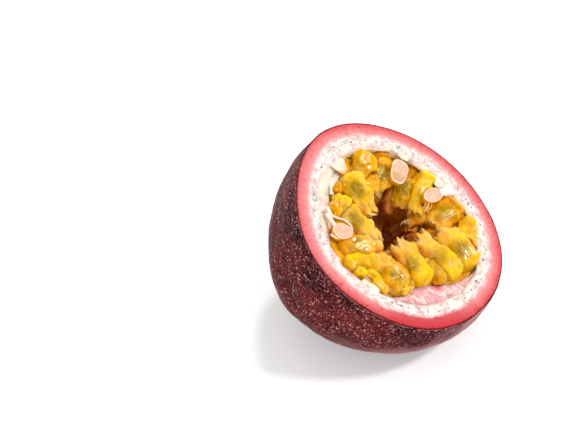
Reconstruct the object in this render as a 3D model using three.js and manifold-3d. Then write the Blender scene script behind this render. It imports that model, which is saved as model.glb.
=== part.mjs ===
// Half of a purple passion fruit, cut across its middle and lying tilted on its round back.
// Millimetres, +Z up. The fruit is shaped in its own frame, with the cut face at z = 0 and the
// body below it, and a group then tips it over and stands its small flat spot on z = 0.
import * as THREE from 'three';
import { mergeVertices } from 'three/addons/utils/BufferGeometryUtils.js';
import { ParametricGeometry } from 'three/addons/geometries/ParametricGeometry.js';
import Module from 'manifold-3d';

const wasm = await Module();
wasm.setup();

// ---- driving dimensions -------------------------------------------------------------------

const RIM_RADIUS = 28;                 // mean radius of the cut face
const BODY_DEPTH = 32.4;               // cut face to the far pole
const BODY_POWER = 2.15;               // 2 is an ellipse, more is fuller
const LOBES = [                        // waves of the outline: count, cosine part, sine part
  [3, -0.0101, -0.0112],
  [4, 0.0040, -0.0043],
  [5, -0.0016, 0.0059],
];
const SWELL = { all: 0.056, x: 0.125, y: -0.048 };   // extra girth half way down
const LEAN = { x: 0.128, y: -0.089 };                // sideways drift of the axis with height
const TILT = THREE.MathUtils.degToRad(30);           // the cut face leans this far towards -Y
const TURN = THREE.MathUtils.degToRad(-19.6);        // turn about the fruit's own axis
const FLAT_DEPTH = 0.9;                // how much of the round back the flat spot takes off

const RED_THICKNESS = 3.6;             // red outer flesh, with the purple skin on it
const GAP = 0.3;                       // between neighbouring layers
const CAVITY_DEPTH = 24.8;             // cut face to the lowest point of the white lining
const CAVITY_RIM = [20.7, 20.4, 21.3, 20.8, 21.4, 21.2, 21.7, 21.0, 20.9, 20.9, 21.7, 21.9];
const CAVITY_ROUND = 1.2;              // rounding of the lining's inner edge
const BEVELS = [                       // where the lining slopes in under its edge
  { at: 130, spread: 34, size: 4.9 },
  { at: 254, spread: 32, size: 6.3 },
];
const BEVEL_DEPTH = 3.5;

const SCAR = { radius: 1.3, height: 0.8, dimple: 3.4, sink: 0.9 };   // stalk scar on the pole

const SHELF_DEPTH = 2.2;               // pulp core: its edge against the lining
const MOUTH = { radius: 9.4, depth: 6.2, extra: 2.4 };   // where the shelf drops into the hollow
const HOLLOW = { x: 3.0, y: 1.4, radius: 8.3, depth: 18.0, floor: 5.8 };
const PLUG_TOP = 2.5;                  // the highest any pulp stands over the cut face

// Juice sacs round the mouth, each from its root near the lining to its tip: angle of the root,
// its distance from the axis and depth, then the sac's length, slope down, turn off the straight
// line to the axis, and width. Angles are in degrees.
const SACS = [
  { at: 2, reach: 15.3, sink: 3.0, length: 7.5, dip: 29, turn: 5, width: 4.6 },
  { at: 18, reach: 20.9, sink: 0.9, length: 11.9, dip: 16, turn: 15, width: 5.5 },
  { at: 31, reach: 17.1, sink: 2.8, length: 7.7, dip: 25, turn: 13, width: 6.6 },
  { at: 35, reach: 19.6, sink: 4.8, length: 3.7, dip: 25, turn: -7, width: 4.8 },
  { at: 45, reach: 19.7, sink: 2.1, length: 9.0, dip: 21, turn: -22, width: 5.8 },
  { at: 68, reach: 15.7, sink: 3.6, length: 4.9, dip: 14, turn: 15, width: 4.8 },
  { at: 64, reach: 20.4, sink: 1.5, length: 6.4, dip: 19, turn: -42, width: 6.6 },
  { at: 75, reach: 20.8, sink: 3.4, length: 3.3, dip: 18, turn: 0, width: 3.2 },
  { at: 94, reach: 17.6, sink: 2.2, length: 11.2, dip: 9, turn: -3, width: 7.6 },
  { at: 114, reach: 14.8, sink: 1.9, length: 7.4, dip: 2, turn: -83, width: 4.8 },
  { at: 129, reach: 14.9, sink: 2.8, length: 11.8, dip: 5, turn: -25, width: 6.8 },
  { at: 145, reach: 16.4, sink: 3.4, length: 8.3, dip: 8, turn: -17, width: 5.0 },
  { at: 169, reach: 18.2, sink: 2.4, length: 11.8, dip: 7, turn: -5, width: 6.4 },
  { at: 179, reach: 20.2, sink: 2.2, length: 12.9, dip: 4, turn: -28, width: 6.0 },
  { at: 186, reach: 19.9, sink: 1.3, length: 3.3, dip: -2, turn: -77, width: 3.3 },
  { at: 196, reach: 17.4, sink: 3.2, length: 7.8, dip: 9, turn: -13, width: 5.0 },
  { at: 192, reach: 17.5, sink: 1.4, length: 7.4, dip: 1, turn: -92, width: 2.8 },
  { at: 216, reach: 18.6, sink: 2.4, length: 7.5, dip: 6, turn: -16, width: 6.6 },
  { at: 224, reach: 18.0, sink: 2.1, length: 3.6, dip: -3, turn: -59, width: 3.0 },
  { at: 240, reach: 16.1, sink: 2.8, length: 9.8, dip: 9, turn: 23, width: 4.8 },
  { at: 255, reach: 15.5, sink: 2.4, length: 11.7, dip: 8, turn: 3, width: 7.2 },
  { at: 272, reach: 17.2, sink: 2.4, length: 9.8, dip: 11, turn: -11, width: 5.6 },
  { at: 287, reach: 19.0, sink: 2.2, length: 13.1, dip: 8, turn: -15, width: 6.8 },
  { at: 300, reach: 21.7, sink: 1.8, length: 11.0, dip: 7, turn: -39, width: 7.6 },
  { at: 321, reach: 17.4, sink: 4.6, length: 6.2, dip: 19, turn: -44, width: 5.6 },
  { at: 335, reach: 24.4, sink: 1.3, length: 6.8, dip: 15, turn: 40, width: 7.2 },
  { at: 341, reach: 22.4, sink: 2.4, length: 5.7, dip: 30, turn: 25, width: 5.0 },
  { at: 351, reach: 21.3, sink: 1.3, length: 9.6, dip: 20, turn: 17, width: 7.0 },
  { at: 355, reach: 20.7, sink: 4.2, length: 4.8, dip: 25, turn: 14, width: 4.6 },
  { at: 51, reach: 22.1, sink: 2.6, length: 4.0, dip: 23, turn: 10, width: 4.2 },
  { at: 320, reach: 23.3, sink: 2.4, length: 3.3, dip: 25, turn: -20, width: 4.4 },
  { at: 107, reach: 17.9, sink: 2.6, length: 3.8, dip: 18, turn: 0, width: 4.4 },
  { at: 157, reach: 17.4, sink: 2.4, length: 4.6, dip: 15, turn: 0, width: 4.2 },
];

const SAC_FLATNESS = 0.86;             // a sac's height over its width
const SAC_BLUNTNESS = 0.6;             // 1 is a round drop, less has blunter ends
const SAC_GIRTH = { root: 1.16, taper: 0.3 };   // fullness at the root and how much of it the tip loses

// Sacs further down, in rings round the hollow: how many, the depth of their tips, how far the
// tips stand in over the hollow's wall, and the sacs' length, slope up to the root and width.
const RINGS = [
  { count: 8, depth: 8.8, over: 2.0, length: 10.0, dip: 30, width: 5.0 },
  { count: 8, depth: 13.0, over: 2.2, length: 9.5, dip: 34, width: 5.0 },
  { count: 6, depth: 17.0, over: 3.6, length: 9.0, dip: 18, width: 5.2 },
];
const RING_SPREAD = 0.5;               // random shift along the ring, in spacings
const RING_RISE = 1.2;                 // random shift in depth

// Seeds split by the knife, flat in the cut face: place of the middle, turn, length and width.
const CUT_SEEDS = [
  { at: 3.4, reach: 15.4, turn: -12, length: 6.2, width: 3.6 },
  { at: 41, reach: 15.6, turn: -12, length: 7.2, width: 4.3 },
  { at: 157, reach: 16.5, turn: -3, length: 5.3, width: 4.1 },
];
const SEED_THICKNESS = 3.4;
const SEED_STAND = 0.25;               // height of a cut seed's flat over the cut face

const SIDES = { body: 44, core: 28, mouthSac: 7, ringSac: 6, seed: 8 };   // facets round each form
const STEPS = { skin: 14, hidden: 8, mouthSac: 5, ringSac: 4, seed: 6 };   // and along it
const SEED_VALUE = 11;                 // start of the random numbers

// ---- helpers ------------------------------------------------------------------------------

const { degToRad, smoothstep, euclideanModulo } = THREE.MathUtils;

function randomSource(start) {
  let state = start;
  return () => {
    state = (state * 1664525 + 1013904223) % 4294967296;
    return state / 4294967296;
  };
}

const random = randomSource(SEED_VALUE);
const spread = (range) => (random() * 2 - 1) * range;

function signedVolume(positions, faces) {
  const corner = [new THREE.Vector3(), new THREE.Vector3(), new THREE.Vector3()];
  let total = 0;
  for (let f = 0; f < faces.length; f += 3) {
    corner.forEach((point, k) => point.fromArray(positions, 3 * faces[f + k]));
    total += corner[0].dot(corner[1].cross(corner[2])) / 6;
  }
  return total;
}

// A closed three.js geometry as a solid: shared corners merged, empty triangles dropped and the
// faces turned to point out.
function solidFrom(geometry) {
  const bare = new THREE.BufferGeometry();
  bare.setAttribute('position', geometry.getAttribute('position'));
  bare.setIndex(geometry.getIndex());
  const merged = mergeVertices(bare, 1e-4);
  const positions = merged.getAttribute('position').array;
  const index = merged.getIndex().array;
  const faces = [];
  for (let f = 0; f < index.length; f += 3) {
    const [a, b, c] = [index[f], index[f + 1], index[f + 2]];
    if (a !== b && b !== c && c !== a) {
      faces.push(a, b, c);
    }
  }
  if (signedVolume(positions, faces) < 0) {
    faces.reverse();
  }
  return new wasm.Manifold(new wasm.Mesh({
    numProp: 3,
    vertProperties: new Float32Array(positions),
    triVerts: new Uint32Array(faces),
  }));
}

// The largest of the separate bodies of a solid, without loose scraps.
function mainBody(solid) {
  return solid.decompose().reduce((kept, body) => (body.volume() > kept.volume() ? body : kept));
}

function geometryFrom(solid) {
  const mesh = solid.getMesh();
  const geometry = new THREE.BufferGeometry();
  geometry.setAttribute('position', new THREE.BufferAttribute(mesh.vertProperties, 3));
  geometry.setIndex(new THREE.BufferAttribute(mesh.triVerts, 1));
  return geometry;
}

// Smooth closed curve through values spread evenly round the circle.
function aroundCircle(values, angle) {
  const place = euclideanModulo(angle / (2 * Math.PI), 1) * values.length;
  const first = Math.floor(place);
  const t = place - first;
  const [a, b, c, d] = [-1, 0, 1, 2].map((k) => values[(first + k + values.length) % values.length]);
  return b + 0.5 * t * (c - a + t * (2 * a - 5 * b + 4 * c - d + t * (3 * (b - c) + d - a)));
}

// ---- form of the fruit --------------------------------------------------------------------

function rimRadius(angle) {
  return LOBES.reduce(
    (sum, [count, c, s]) => sum + RIM_RADIUS * (c * Math.cos(count * angle) + s * Math.sin(count * angle)),
    RIM_RADIUS,
  );
}

function bevel(angle) {
  return BEVELS.reduce((sum, { at, spread: width, size }) => {
    const away = euclideanModulo(angle - degToRad(at) + Math.PI, 2 * Math.PI) - Math.PI;
    return sum + size * Math.exp(-((away / degToRad(width)) ** 2));
  }, 0);
}

// The girth of the body at a share of its depth, as a share of the rim.
function girth(share) {
  return Math.max(0, 1 - share ** BODY_POWER) ** (1 / BODY_POWER);
}

// A point of a bowl nested in the fruit, at a share of the bowl's depth below the cut face.
function bowlPoint(angle, share, radius, depth, lift = 0) {
  const swell = 1 + (SWELL.all + SWELL.x * Math.cos(angle) + SWELL.y * Math.sin(angle))
    * Math.sin(Math.PI * share);
  const reach = radius * girth(share) * swell;
  const z = lift - depth * share;
  return new THREE.Vector3(
    reach * Math.cos(angle) + LEAN.x * z,
    reach * Math.sin(angle) + LEAN.y * z,
    z,
  );
}

function facePoint(angle, radius, z = 0) {
  return new THREE.Vector3(radius * Math.cos(angle), radius * Math.sin(angle), z);
}

// Shares of depth from the pole up to the rim, evenly spread along the curve.
function sharesUp(steps) {
  return Array.from({ length: steps }, (_, k) => {
    const angle = (Math.PI / 2) * (1 - k / steps);
    return Math.sin(angle) ** (2 / BODY_POWER);
  });
}

const sharesDown = (steps) => sharesUp(steps).reverse();

// A closed form from rings: each ring is a function of the angle, and the first and the last
// one are single points on the axis.
function solidOfRings(rings, segments) {
  const last = rings.length - 1;
  const surface = (u, v, target) => {
    const angle = u === 1 ? 0 : u * 2 * Math.PI;
    target.copy(rings[Math.round(v * last)](angle));
  };
  return solidFrom(new ParametricGeometry(surface, segments, last));
}

// ---- skin and red outer flesh -------------------------------------------------------------

// Rings of the stalk scar: a low round stub in a shallow dimple on the pole.
function scarRings() {
  const { radius, height, dimple, sink } = SCAR;
  const steps = [
    [0, height - sink], [radius, height - sink], [radius * 1.15, -sink], [dimple * 0.7, -sink * 0.45],
  ];
  return steps.map(([across, out]) => (angle) => {
    const share = (1 - (across / RIM_RADIUS) ** BODY_POWER) ** (1 / BODY_POWER);
    return bowlPoint(angle, share, rimRadius(angle), BODY_DEPTH, -out);
  });
}

function outerPoint(angle, share) {
  return bowlPoint(angle, share, rimRadius(angle), BODY_DEPTH);
}

function redFlesh() {
  const outside = sharesUp(STEPS.skin).slice(2).map((share) => (angle) => outerPoint(angle, share));
  const face = [
    (angle) => outerPoint(angle, 0),
    (angle) => facePoint(angle, rimRadius(angle) - RED_THICKNESS / 2),
    (angle) => facePoint(angle, rimRadius(angle) - RED_THICKNESS),
  ];
  const inside = sharesDown(STEPS.hidden).map((share) => (angle) => bowlPoint(
    angle, share, rimRadius(angle) - RED_THICKNESS, BODY_DEPTH - RED_THICKNESS,
  ));
  return solidOfRings([...scarRings(), ...outside, ...face, ...inside], SIDES.body);
}

// ---- white lining -------------------------------------------------------------------------

function cavityPoint(angle, share, clearance = 0) {
  const slope = bevel(angle) * smoothstep(share * CAVITY_DEPTH, 0, BEVEL_DEPTH);
  const radius = aroundCircle(CAVITY_RIM, angle) - slope - clearance;
  return bowlPoint(angle, share, radius, CAVITY_DEPTH - clearance);
}

function lining() {
  const inset = RED_THICKNESS + GAP;
  const rim = (angle) => aroundCircle(CAVITY_RIM, angle);
  const outside = sharesUp(STEPS.hidden).map((share) => (angle) => bowlPoint(
    angle, share, rimRadius(angle) - inset, BODY_DEPTH - inset,
  ));
  const face = [
    (angle) => facePoint(angle, rimRadius(angle) - inset),
    (angle) => facePoint(angle, rim(angle) + CAVITY_ROUND),
    (angle) => facePoint(angle, rim(angle) + CAVITY_ROUND * 0.35, -CAVITY_ROUND * 0.3),
  ];
  const roundEnd = CAVITY_ROUND / CAVITY_DEPTH;
  const inside = [roundEnd, ...sharesDown(STEPS.hidden)].map((share) => (angle) => cavityPoint(angle, share));
  return solidOfRings([...outside, ...face, ...inside], SIDES.body);
}

// ---- pulp ---------------------------------------------------------------------------------

// All the room that the pulp may take: the cavity with a gap round it, open upwards.
function cavityPlug() {
  const wall = sharesUp(STEPS.hidden).map((share) => (angle) => cavityPoint(angle, share, GAP));
  const top = (angle) => facePoint(angle, aroundCircle(CAVITY_RIM, angle) - GAP, PLUG_TOP);
  const brim = (angle) => cavityPoint(angle, 0, GAP);
  const lid = () => new THREE.Vector3(0, 0, PLUG_TOP);
  return solidOfRings([...wall, brim, top, lid], SIDES.core);
}

// A point of the hollow's wall: it stands off the fruit's axis.
function hollowPoint(angle, radius, depth) {
  return new THREE.Vector3(
    HOLLOW.x + radius * Math.cos(angle),
    HOLLOW.y + radius * Math.sin(angle),
    -depth,
  );
}

// The bare heap: a cup that lines the cavity, with a sloping shelf round a deep open hollow.
function pulpCore() {
  const shelf = SHELF_DEPTH / CAVITY_DEPTH;
  const wall = sharesUp(STEPS.hidden).filter((share) => share > shelf * 1.5);
  const mouthDepth = (angle) => MOUTH.depth + MOUTH.extra * Math.cos(angle);
  const brim = (angle) => cavityPoint(angle, shelf, GAP);
  const mouth = (angle) => hollowPoint(angle, MOUTH.radius, mouthDepth(angle));
  const rings = [
    ...wall.map((share) => (angle) => cavityPoint(angle, share, GAP)),
    brim,
    (angle) => brim(angle).lerp(mouth(angle), 0.5).setZ(-(SHELF_DEPTH + mouthDepth(angle)) * 0.46),
    mouth,
    (angle) => hollowPoint(angle, HOLLOW.radius, mouthDepth(angle) + 2.5),
    (angle) => hollowPoint(angle, HOLLOW.radius, HOLLOW.depth - 3),
    (angle) => hollowPoint(angle, HOLLOW.floor, HOLLOW.depth - 0.6),
    (angle) => hollowPoint(angle, 0, HOLLOW.depth),
  ];
  return solidOfRings(rings, SIDES.core);
}

// One juice sac as a fat drop: blunt at its root, drawn out to its tip.
function sac(root, direction, length, width, sides, steps) {
  const profile = Array.from({ length: steps + 1 }, (_, k) => {
    const angle = Math.PI * (k / steps);
    const along = (1 - Math.cos(angle)) / 2;
    const fullness = Math.sin(angle) ** SAC_BLUNTNESS * (SAC_GIRTH.root - SAC_GIRTH.taper * along);
    return new THREE.Vector2(Math.max(0, fullness) / 2, along);
  });
  profile[steps].x = 0;
  const side = new THREE.Vector3(0, 0, 1).cross(direction).normalize();
  const above = side.clone().cross(direction).negate();
  const place = new THREE.Matrix4()
    .makeBasis(side, direction, above)
    .scale(new THREE.Vector3(width, length, width * SAC_FLATNESS))
    .setPosition(root);
  return solidFrom(new THREE.LatheGeometry(profile, sides).applyMatrix4(place));
}

function headingDown(angle, dip) {
  return new THREE.Vector3(
    Math.cos(dip) * Math.cos(angle),
    Math.cos(dip) * Math.sin(angle),
    -Math.sin(dip),
  );
}

function mouthSacs() {
  return SACS.map(({ at, reach, sink, length, dip, turn, width }) => {
    const root = facePoint(degToRad(at), reach, -sink);
    const heading = headingDown(degToRad(at + 180 + turn), degToRad(dip));
    return sac(root, heading, length, width, SIDES.mouthSac, STEPS.mouthSac);
  });
}

function ringSacs() {
  return RINGS.flatMap(({ count, depth, over, length, dip, width }) => {
    const spacing = (2 * Math.PI) / count;
    return Array.from({ length: count }, (_, k) => {
      const angle = spacing * (k + spread(RING_SPREAD));
      const tip = hollowPoint(angle, HOLLOW.radius - over, depth + spread(RING_RISE));
      const heading = headingDown(angle + Math.PI, degToRad(dip));
      const root = tip.addScaledVector(heading, -length);
      return sac(root, heading, length, width, SIDES.ringSac, STEPS.ringSac);
    });
  });
}

// A seed split along its length, its flat side in the cut face.
function cutSeed({ at, reach, turn, length, width }) {
  const shape = new THREE.SphereGeometry(0.5, SIDES.seed, STEPS.seed);
  const middle = facePoint(degToRad(at), reach, -SEED_STAND);
  shape.applyMatrix4(new THREE.Matrix4()
    .makeRotationZ(degToRad(at + turn))
    .multiply(new THREE.Matrix4().makeScale(length, width, SEED_THICKNESS))
    .setPosition(middle));
  const points = shape.getAttribute('position');
  for (let k = 0; k < points.count; k += 1) {
    points.setZ(k, Math.min(points.getZ(k), SEED_STAND));
  }
  return solidFrom(shape);
}

function pulp() {
  const pieces = [...mouthSacs(), ...ringSacs(), ...CUT_SEEDS.map(cutSeed)];
  const heap = pieces.reduce((joined, piece) => joined.add(piece), pulpCore());
  return mainBody(heap.intersect(cavityPlug()));
}

// ---- resting place ------------------------------------------------------------------------

const tipped = new THREE.Group();
tipped.rotation.set(TILT, 0, TURN);

// The point of the round back that comes lowest once the fruit is tipped over.
function lowestPoint() {
  const down = new THREE.Vector3(0, 0, -1).applyQuaternion(tipped.quaternion.clone().invert());
  const steps = 360;
  let lowest = null;
  for (let i = 0; i < steps; i += 1) {
    for (let k = 1; k < steps / 2; k += 1) {
      const point = outerPoint((2 * Math.PI * i) / steps, (2 * k) / steps);
      if (!lowest || point.dot(down) > lowest.dot(down)) {
        lowest = point;
      }
    }
  }
  return lowest;
}

const restPoint = lowestPoint().applyQuaternion(tipped.quaternion);
restPoint.z += FLAT_DEPTH;
tipped.position.copy(restPoint).negate();
tipped.updateMatrixWorld(true);

// Everything that lies below the resting plane, in the fruit's own frame.
function groundBlock() {
  const size = 4 * RIM_RADIUS;
  const block = new THREE.BoxGeometry(size, size, size).translate(0, 0, -size / 2);
  return solidFrom(block.applyMatrix4(tipped.matrixWorld.clone().invert()));
}

// ---- the part -----------------------------------------------------------------------------

function piece(name, solid, look) {
  const mesh = new THREE.Mesh(geometryFrom(solid), new THREE.MeshStandardMaterial(look));
  mesh.name = name;
  tipped.add(mesh);
}

piece('shell', redFlesh().subtract(groundBlock()), { color: '#5a2430', roughness: 0.45, metalness: 0 });
piece('pith', lining(), { color: '#f4ece2', roughness: 0.7, metalness: 0 });
piece('pulp', pulp(), { color: '#e0a018', roughness: 0.15, metalness: 0 });

const group = new THREE.Group();
group.add(tipped);

export default group;
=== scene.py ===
"""Half of a purple passion fruit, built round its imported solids, with a plain stage.

The fruit is shaped in its own frame in millimetres, with the cut face at z = 0 and the body below
it, and is then tipped over onto its flat spot and scaled to metres, as its solids are. Angles in
the tables run round the cut face, in degrees.
"""

import math
from dataclasses import dataclass

import bpy
import numpy as np
from mathutils import Matrix, Vector


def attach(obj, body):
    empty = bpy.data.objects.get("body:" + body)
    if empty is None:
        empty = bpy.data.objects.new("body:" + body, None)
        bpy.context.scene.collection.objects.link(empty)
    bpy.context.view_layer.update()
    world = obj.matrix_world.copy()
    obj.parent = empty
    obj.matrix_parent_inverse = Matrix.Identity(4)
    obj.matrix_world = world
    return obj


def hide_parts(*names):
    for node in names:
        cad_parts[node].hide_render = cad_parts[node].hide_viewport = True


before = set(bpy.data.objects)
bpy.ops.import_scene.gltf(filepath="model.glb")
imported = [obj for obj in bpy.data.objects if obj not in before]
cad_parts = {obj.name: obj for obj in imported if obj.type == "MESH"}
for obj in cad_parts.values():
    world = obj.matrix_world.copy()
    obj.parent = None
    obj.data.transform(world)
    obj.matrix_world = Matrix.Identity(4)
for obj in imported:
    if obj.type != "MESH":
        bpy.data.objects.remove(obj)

bl_info = {
    "name": "Passion fruit half",
    "version": (1, 0, 0),
    "blender": (4, 5, 0),
    "location": "3D View > Sidebar > Fruit",
    "description": "Builds half of a purple passion fruit round its packed solids, with a plain stage",
    "category": "Object",
}

MM = 0.001
FULL_TURN = 2 * np.pi
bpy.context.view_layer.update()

# ---- sizes of the fruit, in millimetres -----------------------------------------------------

# the body: its girth, the waves of its rim, how it swells and leans, how it is tipped, its scar,
# and the edge of its cut face (distance in from the rim, height)
RIM_RADIUS = 28.0
BODY_DEPTH = 32.4
BODY_POWER = 2.15
LOBES = ((3, -0.0101, -0.0112), (4, 0.0040, -0.0043), (5, -0.0016, 0.0059))
SWELL = {"all": 0.056, "x": 0.125, "y": -0.048}
LEAN = (0.128, -0.089)
TILT = math.radians(30)
TURN = math.radians(-19.6)
FLAT_DEPTH = 0.9
RED_THICKNESS = 3.6
SKIN_SIDES = 384
SKIN_RINGS = 110
SCAR = {"radius": 1.3, "height": 0.8, "dimple": 3.4, "sink": 0.9}
SCAR_RINGS = (0.45, 0.9, 1.2, 1.3, 1.34, 1.42, 1.6, 2.0, 2.5, 3.0)
SKIN_RINGS_IN_SCAR = 9
SKIN_LIP = 0.2
FACE_EDGE = ((0.04, -0.05), (0.14, -0.01))

# the cavity: its rim, the slopes of its wall (at, half width, size), a fold and a blush in it
GAP = 0.3
CAVITY_DEPTH = 24.8
CAVITY_RIM = (20.7, 20.4, 21.3, 20.8, 21.4, 21.2, 21.7, 21.0, 20.9, 20.9, 21.7, 21.9)
CAVITY_ROUND = 1.2
BEVELS = ((130, 34, 4.9), (254, 32, 6.3))
BEVEL_DEPTH = 3.5
CREASE = {"at": 215, "spread": (28, 44), "out": 0.3}
BLUSH = {"at": (-1.4, -16.8, -2.3), "size": 2.2, "amount": 0.9}
LINING_SIDES = 360

# relief, as lumps (size, number of its random draw, height)
SKIN_RIPPLES = ((9.0, 3, 0.07), (3.2, 4, 0.02))
EDGE_RELIEF = ((5.0, 21, 0.13), (2.0, 22, 0.06))
EDGE_TOP = 0.12
WALL_FOLDS = ((3.4, 23, 0.2), (1.5, 24, 0.08))
FOLD_STRETCH = (0.5, 0.5, 2.0)
BED_RELIEF = ((4.6, 31, 0.42), (1.9, 32, 0.14))
SAC_LUMPS = ((4.2, 0, 0.28), (1.6, 1, 0.1))
SEED_RELIEF = ((2.2, 60, 0.04),)
FLAP_RELIEF = ((1.6, 27, 0.08), (3.2, 28, 0.12))

# the pulp: the shelf round its edge, the mouth and the hollow in its middle
SHELF_DEPTH = 2.2
SHELF_SINK = 0.25
MOUTH = {"radius": 9.4, "depth": 6.2, "extra": 2.4}
HOLLOW = {"x": 3.0, "y": 1.4, "radius": 8.3, "depth": 18.0}
HOLLOW_ROUND = 3.0
HOLLOW_STEP = 2.5
PLUG_TOP = 2.5
BED_SIDES = 160

# the sacs: their section, where the round root ends and the tip begins as shares of the length,
# the cut end from its edge in (place, width, raggedness), what shows on them, and the deep ones
SAC_FLATNESS = 0.86
SAC_CORNER = 2.5
ROOT_SHARE = 0.22
ROUND_TIP = 0.66
FRAYED_TIP = 0.86
CUT_END = ((1.0, 0.88, 1.0), (1.0, 0.78, 0.85), (0.975, 0.6, 0.5), (0.955, 0.38, 0.2), (0.945, 0.16, 0.1))
SAC_CLEARANCE = 0.12
SEED_SPOT = (2.8, 2.3)
# the width of the painted highlights
HIGHLIGHT_WIDTH = 1.05
OPEN_SIDE = (-0.5, 0.0, 0.866)
FIBRES_PER_TIP = 22
FIBRE_RADII = (0.17, 0.13, 0.03)
WIDE_FLAP = 1.5
RING_SPREAD = 0.5
RING_RISE = 1.2
RING_DRAWS = 11
# how much higher the painted hollow shade starts on the deep sacs
HOLLOW_SHADE_SHIFT = 1.5

# the cut seeds: how far they stand out, how deep the pulp is pressed under them, and their form
# from below: share of the size, height, and how far it counts as the pale top
SEED_STAND = 0.05
SEED_BED = 0.7
SEED_FOOT = 3.2
SEED_LEVELS = (
    (0.35, -3.0, 0), (0.8, -2.2, 0), (0.95, -1.1, 0), (1.0, -0.35, 0.3), (1.0, -0.12, 0.8),
    (0.975, 0.0, 1), (0.94, 0.05, 1), (0.9, 0.03, 1), (0.86, -0.03, 1), (0.8, -0.05, 1),
    (0.6, -0.04, 1), (0.35, -0.02, 1),
)

# where colours begin and end, as distances in from the skin's cut edge
RED_BAND = (-0.4, 4.0)
WHITE_START = (2.7, 3.9)
PINK_END = (3.2, 4.6)
DOTS_START = (3.9, 4.6)
DOTS_END = (5.6, 6.6)
SKIN_LINE = (0.05, 0.6)
PALE_LINE = (-0.62, -0.34)
DARK_LINE = (-0.3, -0.16)
FACE_START = (-0.12, 0.0)

# looks: ways across the cut face, up it and to its deeper red, its paler side and its pink wall, then the
# painted rim light of a sac's thin skin seen at a slant and the values that the sacs' meshes carry
FACE_UP = math.radians(6.7)
DEEP_RED = (-0.5, -0.866)
PALE_RED = (-0.77, 0.64)
PINK_WALL = (-0.007, -0.010)
MEMBRANE_RIM_LIGHT = "#f6cc74"
JUICE_VALUES = ("Tone", "Seed", "Pale", "Film", "Deep", "Crease")

# ---- sizes of the stage, in metres ----------------------------------------------------------

# the view's size, its focal length and where the cut face's middle falls in it, in pixels
VIEW_SIZE = (587, 425)
FOCAL_PIXELS = 2345.56
FOCUS_PIXEL = (399.26, 224.54)
SENSOR = 36.0
FLOOR_HALF = 1.5
# name, distance beyond the fruit, to the right, height, size and power
LIGHTS = (
    ("key", -0.20, 0.85, 1.00, 0.18, 26.0),
    ("fill", -0.60, -0.90, 0.85, 0.40, 1.5),
    ("top", 0.70, 0.10, 1.30, 0.24, 18.0),
)

# ---- tables of the small parts ----------------------------------------------------------------


@dataclass
class Sac:
    """One juice sac: its root, slope, turn and size, then how its tip ends and how it is coloured.

    Tones run from 0, light yellow, to 1, amber, at the root and at the tip. A seed glows through at a share
    of the length, and a painted highlight, a pale striped patch, lies at another, so far aside and so long.
    """

    at: float
    reach: float
    sink: float
    length: float
    dip: float
    turn: float
    width: float
    tip: float = 0.6
    fray: float = 0.7
    tone: float = 0.35
    tone_end: float = 0.35
    seed: float = 0.4
    seed_at: float = 0.42
    seed_side: float = 0.0
    pale: float = 0.4
    film: float = 0.0
    highlight_at: float = 0.5
    highlight_side: float = 0.0
    highlight_long: float = 2.0


@dataclass
class Ring:
    """A ring of deep sacs: how many, how deep their tips are and how far they reach into the hollow,
    then their length, slope and width."""

    count: int
    depth: float
    over: float
    length: float
    dip: float
    width: float


@dataclass
class CutSeed:
    """One split seed in the cut face: place of its middle, turn, length, width and squareness, then
    the share of its length that its kernel fills from the outer end, and how it narrows inward."""

    at: float
    reach: float
    turn: float
    length: float
    width: float
    power: float
    kernel: float
    narrow: float


@dataclass
class Strand:
    """A cord, a string or a thin flap: how amber it is, how thick for its width, and its points, each
    to the right of the face's middle, up the face, down under it, and its half width there. A flap
    is more amber at its tip by its fade."""

    amber: float
    thick: float
    points: tuple
    fade: float = 0.0


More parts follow.
